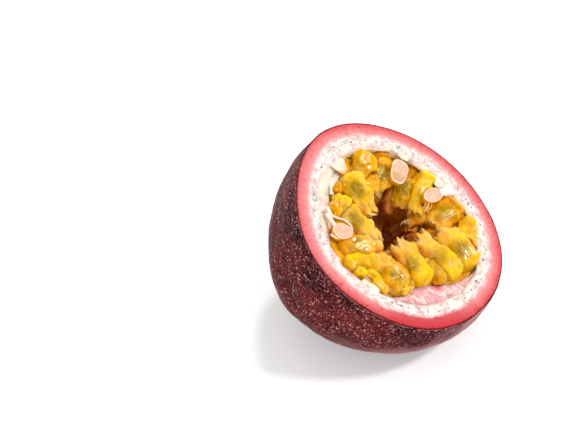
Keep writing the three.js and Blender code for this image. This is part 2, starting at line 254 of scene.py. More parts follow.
MOUTH_SACS = (
    Sac(2, 15.3, 3.0, 7.5, 29, 5, 4.6, tip=0.4, fray=0.35, tone_end=0.3, seed=0.1, pale=0.3),
    Sac(18, 20.9, 0.9, 11.9, 16, 15, 5.5, tip=0.75, fray=0.5, tone=0.0, tone_end=0.2, seed=0.35,
        seed_at=0.8, pale=0.5, film=0.9, highlight_side=0.3, highlight_long=1.1),
    Sac(31, 17.1, 2.8, 7.7, 25, 13, 6.6, tip=0.7, fray=0.4, tone=0.4, tone_end=0.3, seed=1.0, seed_at=0.4,
        pale=0.2),
    Sac(35, 19.6, 4.8, 3.7, 25, -7, 4.8, tone=0.9, tone_end=0.8, seed=0.2, pale=0.1),
    Sac(45, 19.7, 2.1, 9.0, 21, -22, 5.8, tip=0.8, fray=0.6, tone_end=0.25, seed=0.9, seed_at=0.5, pale=0.5,
        film=0.6, highlight_side=1.0, highlight_long=1.4),
    Sac(68, 15.7, 3.6, 4.9, 14, 15, 4.8, fray=1.0, tone=0.5, tone_end=0.3, seed=0.1, pale=0.5),
    Sac(64, 20.4, 1.5, 6.4, 19, -42, 6.6, fray=0.3, tone=0.25, tone_end=0.3, seed_at=0.8, film=1.0,
        highlight_at=0.42, highlight_long=1.5),
    Sac(75, 20.8, 3.4, 3.3, 18, 0, 3.2, tone=1.0, tone_end=1.0, seed=0.0, pale=0.0),
    Sac(94, 17.6, 2.2, 11.2, 9, -3, 7.6, fray=1.0, tone=0.1, tone_end=0.25, seed=1.0, seed_at=0.4, pale=0.6,
        film=0.45, highlight_at=0.75, highlight_side=1.4, highlight_long=2.4),
    Sac(114, 14.8, 1.9, 7.4, 2, -83, 4.8, tip=0.5, fray=0.0, tone=0.0, tone_end=0.4, seed=0.0, pale=0.0),
    Sac(129, 14.9, 2.8, 11.8, 5, -25, 6.8, tip=0.8, fray=1.3, tone=0.3, seed=0.9, seed_at=0.38, pale=1.0,
        film=0.6, highlight_at=0.2, highlight_side=1.2, highlight_long=1.6),
    Sac(145, 16.4, 3.4, 8.3, 8, -17, 5.0, tone=0.6, tone_end=0.5, seed=0.5),
    Sac(169, 18.2, 2.4, 11.8, 7, -5, 6.4, tip=0.75, fray=0.8, tone=0.4, tone_end=0.3, seed=0.8, seed_at=0.3,
        pale=0.8, film=1.0, highlight_at=0.45, highlight_side=0.4, highlight_long=3.0),
    Sac(179, 20.2, 2.2, 12.9, 4, -28, 6.0, tip=0.75, fray=0.9, tone=0.15, tone_end=0.25, seed=0.5,
        seed_at=0.38, pale=0.8, film=0.4, highlight_at=0.7, highlight_side=0.6),
    Sac(186, 19.9, 1.3, 3.3, -2, -77, 3.3, tip=0.5, fray=0.4, tone=0.0, tone_end=0.1, seed=0.0, pale=0.2),
    Sac(196, 17.4, 3.2, 7.8, 9, -13, 5.0, tone=0.4, tone_end=0.3, pale=0.3),
    Sac(192, 17.5, 1.4, 7.4, 1, -92, 2.8, fray=0.2, tone=0.0, tone_end=0.2, seed=0.3, pale=0.3, film=0.5,
        highlight_at=0.7),
    Sac(216, 18.6, 2.4, 7.5, 6, -16, 6.6, tip=0.85, fray=0.8, seed=1.0, seed_at=0.5, seed_side=0.5,
        pale=0.7, film=0.7, highlight_at=0.85, highlight_side=-0.5, highlight_long=1.4),
    Sac(224, 18.0, 2.1, 3.6, -3, -59, 3.0, fray=0.4, tone=0.2, tone_end=0.3, seed=0.0, pale=0.5),
    Sac(240, 16.1, 2.8, 9.8, 9, 23, 4.8, fray=0.6, tone=0.45, seed=0.3, pale=0.3),
    Sac(255, 15.5, 2.4, 11.7, 8, 3, 7.2, tip=0.85, fray=1.4, tone=0.0, seed=0.8, seed_at=0.45,
        seed_side=-0.4, pale=1.0),
    Sac(272, 17.2, 2.4, 9.8, 11, -11, 5.6, tip=0.7, fray=0.9, tone=0.5, seed=0.6, seed_at=0.35, pale=0.8),
    Sac(287, 19.0, 2.2, 13.1, 8, -15, 6.8, tip=0.85, fray=1.4, tone=0.0, tone_end=0.25, seed=0.8,
        seed_at=0.5, pale=1.0),
    Sac(300, 21.7, 1.8, 11.0, 7, -39, 7.6, tip=0.95, fray=0.9, tone=0.15, tone_end=0.15, seed=0.9, pale=0.7,
        film=0.8, highlight_at=0.28, highlight_side=1.6, highlight_long=1.6),
    Sac(321, 17.4, 4.6, 6.2, 19, -44, 5.6, tone=0.6, tone_end=0.6, seed=0.6, pale=0.2),
    Sac(335, 24.4, 1.3, 6.8, 15, 40, 7.2, tip=0.95, fray=0.6, tone=0.05, tone_end=0.15, seed=0.1, film=0.8,
        highlight_side=-0.6, highlight_long=2.2),
    Sac(341, 22.4, 2.4, 5.7, 30, 25, 5.0, tone=0.6, tone_end=0.6, seed=0.0, pale=0.0),
    Sac(351, 21.3, 1.3, 9.6, 20, 17, 7.0, tip=0.85, fray=0.8, tone=0.85, tone_end=0.15, seed=0.8,
        seed_at=0.6, pale=0.6, film=1.0, highlight_at=0.55, highlight_side=-1.2, highlight_long=1.7),
    Sac(355, 20.7, 4.2, 4.8, 25, 14, 4.6, tone=0.9, tone_end=0.8, seed=0.0, pale=0.1),
    Sac(51, 22.1, 2.6, 4.0, 23, 10, 4.2, fray=0.0, tone=0.9, tone_end=0.8, seed=0.0, pale=0.0),
    Sac(320, 23.3, 2.4, 3.3, 25, -20, 4.4, fray=0.0, tone=0.9, tone_end=0.8, seed=0.0, pale=0.0),
    Sac(107, 17.9, 2.6, 3.8, 18, 0, 4.4, fray=0.0, tone=0.7, tone_end=0.7, seed=0.0, pale=0.0),
    Sac(157, 17.4, 2.4, 4.6, 15, 0, 4.2, fray=0.0, tone=0.8, tone_end=0.7, seed=0.3, pale=0.0),
)

RINGS = (
    Ring(8, 8.8, 2.0, 10.0, 30, 5.0),
    Ring(8, 13.0, 2.2, 9.5, 34, 5.0),
    Ring(6, 17.0, 3.6, 9.0, 18, 5.2),
)

CUT_SEEDS = (
    CutSeed(3.4, 15.4, -12, 6.2, 3.6, 2.1, 1.0, 0.05),
    CutSeed(41, 15.6, -12, 7.2, 4.3, 3.0, 0.62, 0.12),
    CutSeed(157, 16.5, -3, 5.3, 4.1, 2.1, 1.0, 0.15),
)

STRANDS = (
    # cord and flap outside the seed at 3.4 degrees
    Strand(0, 0.5, ((1.7, 17.6, 0, 0.9), (2.4, 19.2, 0.1, 1.2), (2.8, 21.0, 0.3, 1.9))),
    Strand(0.06, 0.1, ((0.3, 22.4, 0.2, 2.4), (0.0, 20.7, 0.25, 2.2), (-0.1, 19.6, 0.4, 1.6),
        (0.2, 18.7, 0.5, 0.9))),
    # flap outside the seed at 41 degrees
    Strand(0.08, 0.09, ((-11.6, 20.2, 0.3, 2.6), (-11.0, 18.9, 0.3, 2.3), (-10.5, 17.8, 0.25, 1.7),
        (-10.0, 16.9, 0.05, 0.9))),
    # fold along the left wall
    Strand(0.06, 0.35, ((-19.4, 2.6, 2.2, 0.5), (-19.2, 1.2, 2.3, 0.9), (-18.8, -0.5, 2.4, 1.0),
        (-18.1, -2.3, 2.5, 1.0), (-17.2, -4.1, 2.6, 0.9), (-16.2, -5.9, 2.7, 0.5))),
    # cords and a string by the seed at 157 degrees
    Strand(0.04, 0.7, ((-13.6, -13.9, 0.2, 0.8), (-11.8, -14.5, 0.15, 0.55), (-10.4, -14.9, 0.1, 0.5))),
    Strand(0.1, 1.2, ((-14.6, -13.0, 0.2, 0.8), (-12.7, -13.4, 0.1, 0.4), (-11.3, -12.7, 0, 0.22),
        (-9.6, -11.6, 0, 0.2), (-7.8, -11.4, 0.1, 0.2), (-6.7, -12.1, 0.3, 0.18), (-6.2, -13.1, 0.5, 0.14))),
    Strand(0.2, 0.5, ((-9.6, -17.4, 0.6, 0.4), (-8.2, -17.0, 0.5, 0.3), (-7.0, -16.0, 0.6, 0.14))),
    # wide flaps over the lining's edge
    Strand(0.05, 0.2, ((-23.4, 1.0, 1.2, 2.6), (-20.9, 1.0, 0.75, 2.5), (-19.5, 1.1, 0.8, 2.2),
        (-18.4, 1.2, 1.1, 1.6), (-17.6, 1.4, 1.7, 0.9)), fade=0.3),
    Strand(0.03, 0.14, ((6.4, -23.8, 0.9, 2.6), (5.5, -21.6, 0.35, 2.9), (5.1, -20.4, 0.35, 2.5),
        (4.8, -19.5, 0.7, 1.5)), fade=0.2),
    # strings inside the seed at 3.4 degrees
    Strand(0.35, 1, ((0.7, 12.9, 0.7, 0.16), (1.2, 12.3, 1.4, 0.2), (1.5, 11.4, 2, 0.14))),
    Strand(0.3, 1, ((1.4, 12.9, 0.6, 0.18), (1.9, 12.0, 1.2, 0.22), (2.1, 10.8, 1.8, 0.14))),
    Strand(0.4, 1, ((2.2, 13.1, 0.6, 0.14), (2.6, 12.5, 1.3, 0.16), (2.5, 11.8, 2, 0.1))),
    # strings on the left wall
    Strand(0.3, 1, ((-20.8, 5.3, 0.9, 0.2), (-20, 7.5, 1.2, 0.22), (-18.9, 8.9, 1.7, 0.16))),
    Strand(0.45, 1, ((-20.2, 5.3, 1.5, 0.16), (-19.3, 7.5, 2.1, 0.18), (-18.2, 8.8, 2.6, 0.14))),
    # thin skins and a loop in the hollow
    Strand(0.3, 0.35, ((-7.2, -2.9, 1.6, 0.25), (-6.2, -2.0, 1.8, 0.4), (-5.3, -1.0, 1.7, 0.1))),
    Strand(0.95, 0.25, ((-5, 9.7, 6, 0.8), (-4.4, 8.7, 7, 1.4), (-3.8, 8.0, 8, 1))),
    Strand(0.7, 1, ((1.6, 9.3, 7, 0.16), (2.2, 8.5, 7.6, 0.2), (3.1, 8.7, 7, 0.2), (3.5, 9.7, 6.4, 0.16))),
    Strand(0.85, 0.3, ((2.6, 11.6, 6.5, 0.5), (3, 10.2, 7.5, 1.2), (2.2, 9.6, 8.6, 0.6))),
    # fine strings between sacs
    Strand(0.3, 1, ((10.6, -14.4, 1, 0.16), (11, -13.4, 0.8, 0.2), (11.7, -12.6, 0.6, 0.1))),
    Strand(0.3, 1, ((5.6, -11.5, 0.9, 0.12), (7.4, -11.0, 0.7, 0.2), (9.2, -11.2, 0.7, 0.2),
        (10.4, -12.1, 0.9, 0.12))),
)


def linear(code):
    """A colour code such as #a0b0c0 as three linear numbers."""
    values = [int(code[k:k + 2], 16) / 255 for k in (1, 3, 5)]
    return tuple(v / 12.92 if v <= 0.04045 else ((v + 0.055) / 1.055) ** 2.4 for v in values)


def smooth(value, low, high):
    """0 at low, 1 at high, with an even slope in between."""
    t = np.clip((value - low) / (high - low), 0, 1)
    return t * t * (3 - 2 * t)


def unit(vector):
    """Vectors of the same heading, 1 long."""
    vector = np.asarray(vector, float)
    return vector / np.linalg.norm(vector, axis=-1, keepdims=True)


def spline(a, b, c, d, t):
    """The smooth curve through four points in a row, between the second and the third."""
    return b + 0.5 * t * (c - a + t * (2 * a - 5 * b + 4 * c - d + t * (3 * (b - c) + d - a)))


def around_circle(values, angle):
    """Smooth closed curve through values spread evenly round the circle."""
    values = np.asarray(values)
    place = (np.asarray(angle) / FULL_TURN) % 1 * len(values)
    first = np.floor(place).astype(int)
    return spline(*(values[(first + k) % len(values)] for k in (-1, 0, 1, 2)), place - first)


def circle(sides):
    """Angles spread evenly round the circle."""
    return np.arange(sides) * FULL_TURN / sides


def stack(*parts):
    """Points from their coordinates, each an array or one number."""
    return np.stack(np.broadcast_arrays(*parts), -1)


def angle_between(angle, other):
    """The turn from one angle to another, at most half a turn either way."""
    return (angle - other + np.pi) % FULL_TURN - np.pi


class Lumps:
    """Smooth random relief in space, of a given size of lump and about 1 high."""

    def __init__(self, size, value, waves=28):
        random = np.random.default_rng(value)
        heading = unit(random.normal(size=(waves, 3)))
        self.heading = heading * random.uniform(0.6, 1.5, (waves, 1)) * FULL_TURN / size
        self.phase = random.uniform(0, FULL_TURN, waves)

    def __call__(self, points):
        return np.cos(points @ self.heading.T + self.phase).sum(-1) * math.sqrt(2 / len(self.phase))


def relief(points, lumps, value=0):
    """The height of a relief that is made of lumps of several sizes."""
    return sum(Lumps(size, value + number)(points) * height for size, number, height in lumps)


class Form:
    """The fruit's surfaces as functions of an angle and a share of depth, in millimetres."""

    def __init__(self, sizes):
        self.rim = sizes.rim_radius / MM
        self.depth = sizes.body_depth / MM
        self.red = sizes.red_thickness / MM
        turn = Matrix.Rotation(TILT, 3, "X") @ Matrix.Rotation(TURN, 3, "Z")
        self.turn = np.array(turn)
        angle, share = np.meshgrid(circle(360), np.arange(1, 180) / 180)
        points = self.outer(angle, share).reshape(-1, 3) @ self.turn.T
        self.place = -(points[points[:, 2].argmin()] + (0, 0, FLAT_DEPTH))

    def to_world(self, points):
        """Points of the fruit's own frame, tipped onto the flat spot, in metres."""
        return (points @ self.turn.T + self.place) * MM

    def rim_radius(self, angle):
        """The uneven radius of the cut face."""
        waves = sum(c * np.cos(n * angle) + s * np.sin(n * angle) for n, c, s in LOBES)
        return self.rim * (1 + waves)

    @staticmethod
    def bevel(angle):
        """How far the cavity's wall slopes in."""
        return sum(
            size * np.exp(-((angle_between(angle, math.radians(at)) / math.radians(wide)) ** 2))
            for at, wide, size in BEVELS
        )

    @staticmethod
    def girth(share):
        """The share of the radius that is left at a share of the depth."""
        return np.maximum(0, 1 - share ** BODY_POWER) ** (1 / BODY_POWER)

    def bowl(self, angle, share, radius, depth):
        """A leaning, swelling bowl of the given radius and depth."""
        swell = SWELL["all"] + SWELL["x"] * np.cos(angle) + SWELL["y"] * np.sin(angle)
        reach = radius * self.girth(share) * (1 + swell * np.sin(np.pi * share))
        z = -depth * share
        return stack(reach * np.cos(angle) + LEAN[0] * z, reach * np.sin(angle) + LEAN[1] * z, z)

    def outer(self, angle, share):
        """The outside of the skin."""
        return self.bowl(angle, share, self.rim_radius(angle), self.depth)

    def cavity(self, angle, share, clearance=0.0):
        """The wall of the cavity, or a surface so far inside it."""
        slope = self.bevel(angle) * smooth(share * CAVITY_DEPTH, 0, BEVEL_DEPTH)
        radius = around_circle(CAVITY_RIM, angle) - slope - clearance
        return self.bowl(angle, share, radius, CAVITY_DEPTH - clearance)

    def keep_inside(self, points, clearance):
        """Moves points that stand out through the cavity's wall back to it."""
        z = points[:, 2]
        share = np.clip(-z / (CAVITY_DEPTH - clearance), 0, 0.995)
        middle = stack(LEAN[0] * np.minimum(z, 0), LEAN[1] * np.minimum(z, 0))
        away = points[:, :2] - middle
        angle = np.arctan2(away[:, 1], away[:, 0])
        wall = self.cavity(angle, share, clearance)[:, :2] - middle
        limit = np.linalg.norm(wall, axis=1)
        reach = np.maximum(np.linalg.norm(away, axis=1), 1e-6)
        over = np.minimum(1, limit / reach)
        kept = points.copy()
        kept[:, :2] = middle + away * over[:, None]
        kept[:, 2] = np.clip(z, -CAVITY_DEPTH * 0.99, PLUG_TOP)
        return kept


def shares_up(steps):
    """Shares of depth from the pole up to the rim, evenly spread along the curve."""
    angle = np.pi / 2 * (1 - np.arange(steps) / steps)
    return np.sin(angle) ** (2 / BODY_POWER)


def hollow_point(angle, radius, depth):
    """A point round the middle of the hollow."""
    return stack(HOLLOW["x"] + radius * np.cos(angle), HOLLOW["y"] + radius * np.sin(angle), -depth)


def face_point(angle, radius, z=0.0):
    """A point round the middle of the cut face."""
    return stack(radius * np.cos(angle), radius * np.sin(angle), z)


def heading_down(angle, dip):
    """A heading that slopes down by its dip."""
    return stack(np.cos(dip) * np.cos(angle), np.cos(dip) * np.sin(angle), -np.sin(dip))


def sideways(heading):
    """The level way across a heading, and the way that rises from both."""
    side = unit(np.cross((0, 0, 1), heading))
    return side, -np.cross(side, heading)


# ---- meshes -----------------------------------------------------------------------------------

class Shape:
    """Vertices, faces and named values of the vertices, gathered from several forms."""

    def __init__(self):
        self.points, self.faces, self.values, self.count = [], [], {}, 0

    def add(self, points, faces, **values):
        """Adds a form with its values, each one number or one for every point."""
        self.points.append(points)
        self.faces.extend([[v + self.count for v in face] for face in faces])
        for name, value in values.items():
            if np.ndim(value) == 0:
                value = np.full(len(points), float(value))
            self.values.setdefault(name, []).append(value)
        self.count += len(points)

    def make(self, name, form, material):
        """Makes the piece in the scene, riding on the fruit's body."""
        points = np.concatenate(self.points)
        mesh = bpy.data.meshes.new(name)
        mesh.from_pydata(form.to_world(points).tolist(), [], self.faces)
        for label, parts in self.values.items():
            value = np.concatenate(parts).astype(np.float32)
            kind = "FLOAT" if value.ndim == 1 else "FLOAT_VECTOR"
            layer = mesh.attributes.new(label, kind, "POINT")
            layer.data.foreach_set("value" if value.ndim == 1 else "vector", value.ravel())
        mesh.shade_smooth()
        mesh.materials.append(material)
        piece = bpy.data.objects.new(name, mesh)
        bpy.context.scene.collection.objects.link(piece)
        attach(piece, "root")
        return piece


def ring_faces(rings, sides):
    """Faces of a closed form: a single first point, then rings, then a single last point."""
    faces = []
    last = 1 + rings * sides
    for k in range(sides):
        n = (k + 1) % sides
        faces.append((0, 1 + n, 1 + k))
        top = 1 + (rings - 1) * sides
        faces.append((last, top + k, top + n))
    for r in range(rings - 1):
        low = 1 + r * sides
        high = low + sides
        for k in range(sides):
            n = (k + 1) % sides
            faces.append((low + k, low + n, high + n, high + k))
    return faces


def facing_out(points, faces):
    """The faces, turned round if the closed form they bound has them facing in."""
    total = 0.0
    for face in faces:
        a, b, c = points[face[0]], points[face[1]], points[face[2]]
        total += np.dot(a, np.cross(b, c))
        if len(face) == 4:
            total += np.dot(a, np.cross(c, points[face[3]]))
    return faces if total > 0 else [tuple(reversed(face)) for face in faces]


def from_rings(start, rings, end):
    """Points and faces of a closed form from its rings, an array of rings by sides by 3."""
    count, sides = rings.shape[:2]
    points = np.concatenate([[start], rings.reshape(-1, 3), [end]])
    return points, facing_out(points - points.mean(0), ring_faces(count, sides))


def with_ends(start, rings, end):
    """Values of the vertices of a ringed form, from one value for each end and an array."""
    flat = rings.reshape((-1,) + rings.shape[2:])
    return np.concatenate([np.array([start], float), flat, np.array([end], float)])


# ---- node helpers -------------------------------------------------------------------------------

class Wiring:
    """Short ways to add and link the nodes of one tree."""

    def __init__(self, tree):
        self.tree = tree

    def node(self, kind, inputs=(), **settings):
        """Adds a node, with its settings and its inputs by name or number."""
        made = self.tree.nodes.new(kind)
        for name, value in settings.items():
            setattr(made, name, value)
        for key, value in dict(inputs).items():
            self.put(made.inputs[key], value)
        return made

    def put(self, socket, value):
        """Links a socket to an input, or sets it to a value or a colour."""
        if isinstance(value, bpy.types.NodeSocket):
            self.tree.links.new(value, socket)
        elif socket.type == "RGBA" and len(value) == 3:
            socket.default_value = (*value, 1)
        else:
            socket.default_value = value

    def value_of(self, name, output="Fac"):
        """A value that the mesh carries."""
        return self.node("ShaderNodeAttribute", attribute_name=name).outputs[output]

    def vector_of(self, name):
        """A vector that the mesh carries."""
        return self.value_of(name, "Vector")

    def place(self):
        """The point on the piece, in millimetres."""
        spot = self.node("ShaderNodeTexCoord").outputs["Object"]
        return self.scaled(spot, (1 / MM,) * 3)

    def scaled(self, vector, scale, operation="MULTIPLY"):
        """A vector times another, axis by axis."""
        made = self.node("ShaderNodeVectorMath", {0: vector, 1: scale}, operation=operation)
        return made.outputs["Vector"]

    def moved(self, vector, shift):
        """A vector plus another."""
        return self.scaled(vector, shift, "ADD")

    def parts(self, vector):
        """A vector's or colour's three parts, by their axes."""
        return self.node("ShaderNodeSeparateXYZ", {0: vector}).outputs

    def noise(self, vector, scale, detail=2.0, roughness=0.5):
        """Cloudy noise about a half, with so many lumps for each millimetre."""
        inputs = {"Vector": vector, "Scale": scale, "Detail": detail, "Roughness": roughness}
        return self.node("ShaderNodeTexNoise", inputs).outputs["Fac"]

    def cells(self, vector, scale):
        """Scattered cells: the distance from each middle, and a random colour for each."""
        return self.node("ShaderNodeTexVoronoi", {"Vector": vector, "Scale": scale}).outputs

    def math(self, kind, a, b=0.0, clamp=False):
        made = self.node("ShaderNodeMath", {0: a, 1: b}, operation=kind, use_clamp=clamp)
        return made.outputs["Value"]

    def times(self, a, b):
        return self.math("MULTIPLY", a, b)

    def plus(self, a, b, clamp=False):
        return self.math("ADD", a, b, clamp)

    def swing(self, noise, amount):
        """A noise about a half, as a swing of the given amount about nothing."""
        return self.times(self.math("SUBTRACT", noise, 0.5), amount)

    def towards(self, across, along, way):
        """How far a place lies towards a way across the cut face."""
        return self.plus(self.times(across, way[0]), self.times(along, way[1]))

    def ramp(self, value, low, high, start=0.0, end=1.0):
        """Runs smoothly from start to end while the value runs from low to high."""
        inputs = {"Value": value, "From Min": low, "From Max": high, "To Min": start, "To Max": end}
        made = self.node("ShaderNodeMapRange", inputs, interpolation_type="SMOOTHSTEP", clamp=True)
        return made.outputs["Result"]

    def mix(self, factor, a, b):
        """The first colour, covered by a share of the second."""
        made = self.node("ShaderNodeMix", data_type="RGBA")
        self.put(made.inputs["Factor"], factor)
        colours = [socket for socket in made.inputs if socket.type == "RGBA"]
        self.put(colours[0], a)
        self.put(colours[1], b)
        return next(socket for socket in made.outputs if socket.type == "RGBA")

    def stops(self, value, stops):
        """A colour that runs through (place, colour) pairs."""
        made = self.node("ShaderNodeValToRGB", {"Fac": value})
        points = made.color_ramp.elements
        while len(points) < len(stops):
            points.new(0.5)
        for point, (place, colour) in zip(points, stops):
            point.position = place
            point.color = (*colour, 1)
        return made.outputs["Color"]

    def bump(self, height, distance, strength):
        inputs = {"Height": height, "Distance": distance, "Strength": strength}
        return self.node("ShaderNodeBump", inputs).outputs["Normal"]

    def group(self, name, inputs):
        """Adds one of the shared node groups."""
        made = self.node("ShaderNodeGroup", node_tree=bpy.data.node_groups[name])
        for key, value in inputs.items():
            self.put(made.inputs[key], value)
        return made.outputs


def new_group(name, inputs, outputs):
    """The wiring of a new shader node group, and the sockets that it is given and puts out."""
    tree = bpy.data.node_groups.new(name, "ShaderNodeTree")
    for label, kind in inputs:
        tree.interface.new_socket(label, in_out="INPUT", socket_type=kind)
    for label, kind in outputs:
        tree.interface.new_socket(label, in_out="OUTPUT", socket_type=kind)
    wiring = Wiring(tree)
    return wiring, wiring.node("NodeGroupInput").outputs, wiring.node("NodeGroupOutput").inputs


def new_material(name, **shader):
    """A material with its shader's plain values set, its wiring and its shader."""
    material = bpy.data.materials.new(name)
    material.use_nodes = True
    wiring = Wiring(material.node_tree)
    principled = material.node_tree.nodes["Principled BSDF"]
    for key, value in shader.items():
        wiring.put(principled.inputs[key.replace("_", " ")], value)
    return material, wiring, principled


# ---- shared looks -----------------------------------------------------------------------------

def cut_face_group(colours):
    """Colours of the cut face by the distance in from the skin: red, salmon, then white flesh."""
    w, given, out = new_group(
        "Cut face", [("Flow", "NodeSocketVector")],
        [("Color", "NodeSocketColor"), ("Height", "NodeSocketFloat")],
    )
    flow = given["Flow"]
    across, along, inset = w.parts(flow)
    fibres = w.noise(w.scaled(flow, (1.0, 1.0, 0.3)), 1.9, 3.0, 0.62)
    waves = w.noise(w.scaled(flow, (1.0, 1.0, 0.1)), 0.22, 2.0)
    grain = w.noise(flow, 1.5, 3.0, 0.7)
    shifted = w.plus(inset, w.plus(w.swing(fibres, 1.0), w.swing(waves, 1.5)))

    # red flesh, from the skin inward
    mottled = w.ramp(w.plus(shifted, w.swing(grain, 2.6)), *RED_BAND)
    red = w.stops(mottled, [
        (0.0, colours.rim_flesh), (0.36, colours.red_flesh), (1.0, colours.salmon_flesh),
    ])
    deeper = w.towards(across, along, DEEP_RED)
    red = w.mix(w.ramp(deeper, 21.0, 28.0, 0.0, 0.8), red, colours.deep_flesh)
    paler = w.towards(across, along, PALE_RED)
    red = w.mix(w.ramp(paler, 15.0, 27.0, 0.0, 0.25), red, colours.salmon_flesh)
    flecks = w.noise(w.scaled(flow, (1.0, 1.0, 0.7)), 1.3, 2.0, 0.6)
    red = w.mix(w.ramp(flecks, 0.6, 0.72, 0.0, 0.6), red, colours.red_fleck)

    # white lining
    veil = w.noise(w.scaled(flow, (1.0, 1.0, 1.6)), 0.5, 4.0, 0.65)
    lining = w.mix(w.ramp(veil, 0.43, 0.61), colours.lining, colours.lining_shade)
    lines = w.noise(w.scaled(flow, (0.3, 0.3, 1.5)), 0.9, 2.0, 0.6)
    creamy = w.times(w.ramp(lines, 0.5, 0.7, 0.0, 0.8), w.ramp(inset, *DOTS_END))
    lining = w.mix(creamy, lining, colours.lining_cream)
    blush = w.times(w.ramp(grain, 0.4, 0.7), w.ramp(shifted, *PINK_END, 0.7, 0.0))
    lining = w.mix(blush, lining, colours.lining_pink)
    face = w.mix(w.ramp(shifted, *WHITE_START), red, lining)

    # dark vessel ends in the lining, and the dark line of the skin
    dots = w.cells(w.scaled(flow, (0.75, 0.75, 1.5)), 1.0)
    pick = w.parts(dots["Color"])
    chosen = w.math("GREATER_THAN", pick["X"], 0.25)
    size = w.ramp(pick["Z"], 0.0, 1.0, 0.16, 0.4)
    small = w.ramp(w.math("SUBTRACT", dots["Distance"], size), -0.08, 0.08, 1.0, 0.0)
    band = w.times(w.ramp(inset, *DOTS_START), w.ramp(inset, *DOTS_END, 1.0, 0.0))
    speck = w.times(w.times(small, chosen), band)
    strong = w.ramp(pick["Y"], 0.0, 1.0, 0.25, 0.95)
    face = w.mix(w.times(speck, strong), face, colours.speck_dark)
    uneven = w.plus(inset, w.swing(fibres, 0.7))
    face = w.mix(w.ramp(uneven, *SKIN_LINE, 0.85, 0.0), face, colours.skin_deep)
    w.put(out["Color"], face)
    w.put(out["Height"], w.plus(w.times(fibres, 0.8), w.times(grain, 0.7)))


def juice_group(colours):
    """Colours of wet juice flesh: yellow to amber, an olive seed shining through, pale frayed ends, painted
    highlights, painted crease shade where sacs touch and painted shade deep in the hollow.
    """
    w, given, out = new_group(
        "Juice flesh",
        [("Grain", "NodeSocketVector")] + [(label, "NodeSocketFloat") for label in JUICE_VALUES],
        [("Color", "NodeSocketColor"), ("Height", "NodeSocketFloat"), ("Wet", "NodeSocketFloat")],
    )
    grain = given["Grain"]
    place = w.place()
    clouds = w.noise(place, 0.36, 3.0, 0.6)
    fibre = w.noise(w.scaled(grain, (1.0, 1.0, 0.16)), 1.7, 4.0, 0.7)
    streaks = w.noise(w.scaled(grain, (1.0, 1.0, 0.2)), 1.9, 1.0, 0.4)
    wrinkles = w.noise(w.scaled(grain, (1.0, 1.0, 0.2)), 0.9, 2.0, 0.55)
    gloss = w.noise(w.scaled(grain, (1.0, 1.0, 0.5)), 0.45, 3.0, 0.6)
    ridge = w.math("ABSOLUTE", w.math("SUBTRACT", wrinkles, 0.5))
    thread = w.ramp(ridge, 0.0, 0.035, 1.0, 0.0)

    # juice from light yellow to amber
    tone = w.plus(given["Tone"], w.swing(clouds, 0.9))
    tone = w.plus(tone, w.swing(fibre, 1.3), clamp=True)
    colour = w.stops(tone, [
        (0.0, colours.juice_light), (0.35, colours.juice), (0.7, colours.juice_orange),
        (1.0, colours.juice_amber),
    ])
    olive = w.ramp(w.noise(place, 0.24, 2.0), 0.46, 0.62, 0.0, 0.6)
    colour = w.mix(olive, colour, colours.olive_juice)

    # what shines through or lies on it
    # painted crease shade: a deeper orange where the sacs touch
    colour = w.mix(w.times(given["Crease"], 0.6), colour, colours.crease)
    colour = w.mix(w.times(given["Seed"], 0.9), colour, colours.seed_glow)
    drawn = w.times(thread, w.ramp(clouds, 0.42, 0.64, 0.15, 0.6))
    colour = w.mix(drawn, colour, colours.threads)
    pale = w.times(given["Pale"], w.ramp(fibre, 0.4, 0.6, 0.1, 1.0))
    colour = w.mix(pale, colour, colours.frayed)
    # painted highlight: pale striped patches, which also get the wet coat
    film = w.times(given["Film"], w.ramp(streaks, 0.44, 0.54, 0.15, 1.0))
    colour = w.mix(film, colour, colours.film)
    # painted shade deep in the hollow
    colour = w.mix(given["Deep"], colour, colours.hollow_shade_juice)
    ripples = w.plus(w.times(clouds, 0.7), w.times(thread, 0.25))
    w.put(out["Color"], colour)
    w.put(out["Height"], w.plus(ripples, fibre))
    w.put(out["Wet"], w.math("MAXIMUM", w.ramp(gloss, 0.46, 0.56, 0.1, 1.0), film))


# ---- pieces -----------------------------------------------------------------------------------

def flow_of(points, inset):
    """The vector that patterns follow on the skin and the cut face: across, across, inward."""
    return np.concatenate([points[..., :2], inset[..., None]], -1)


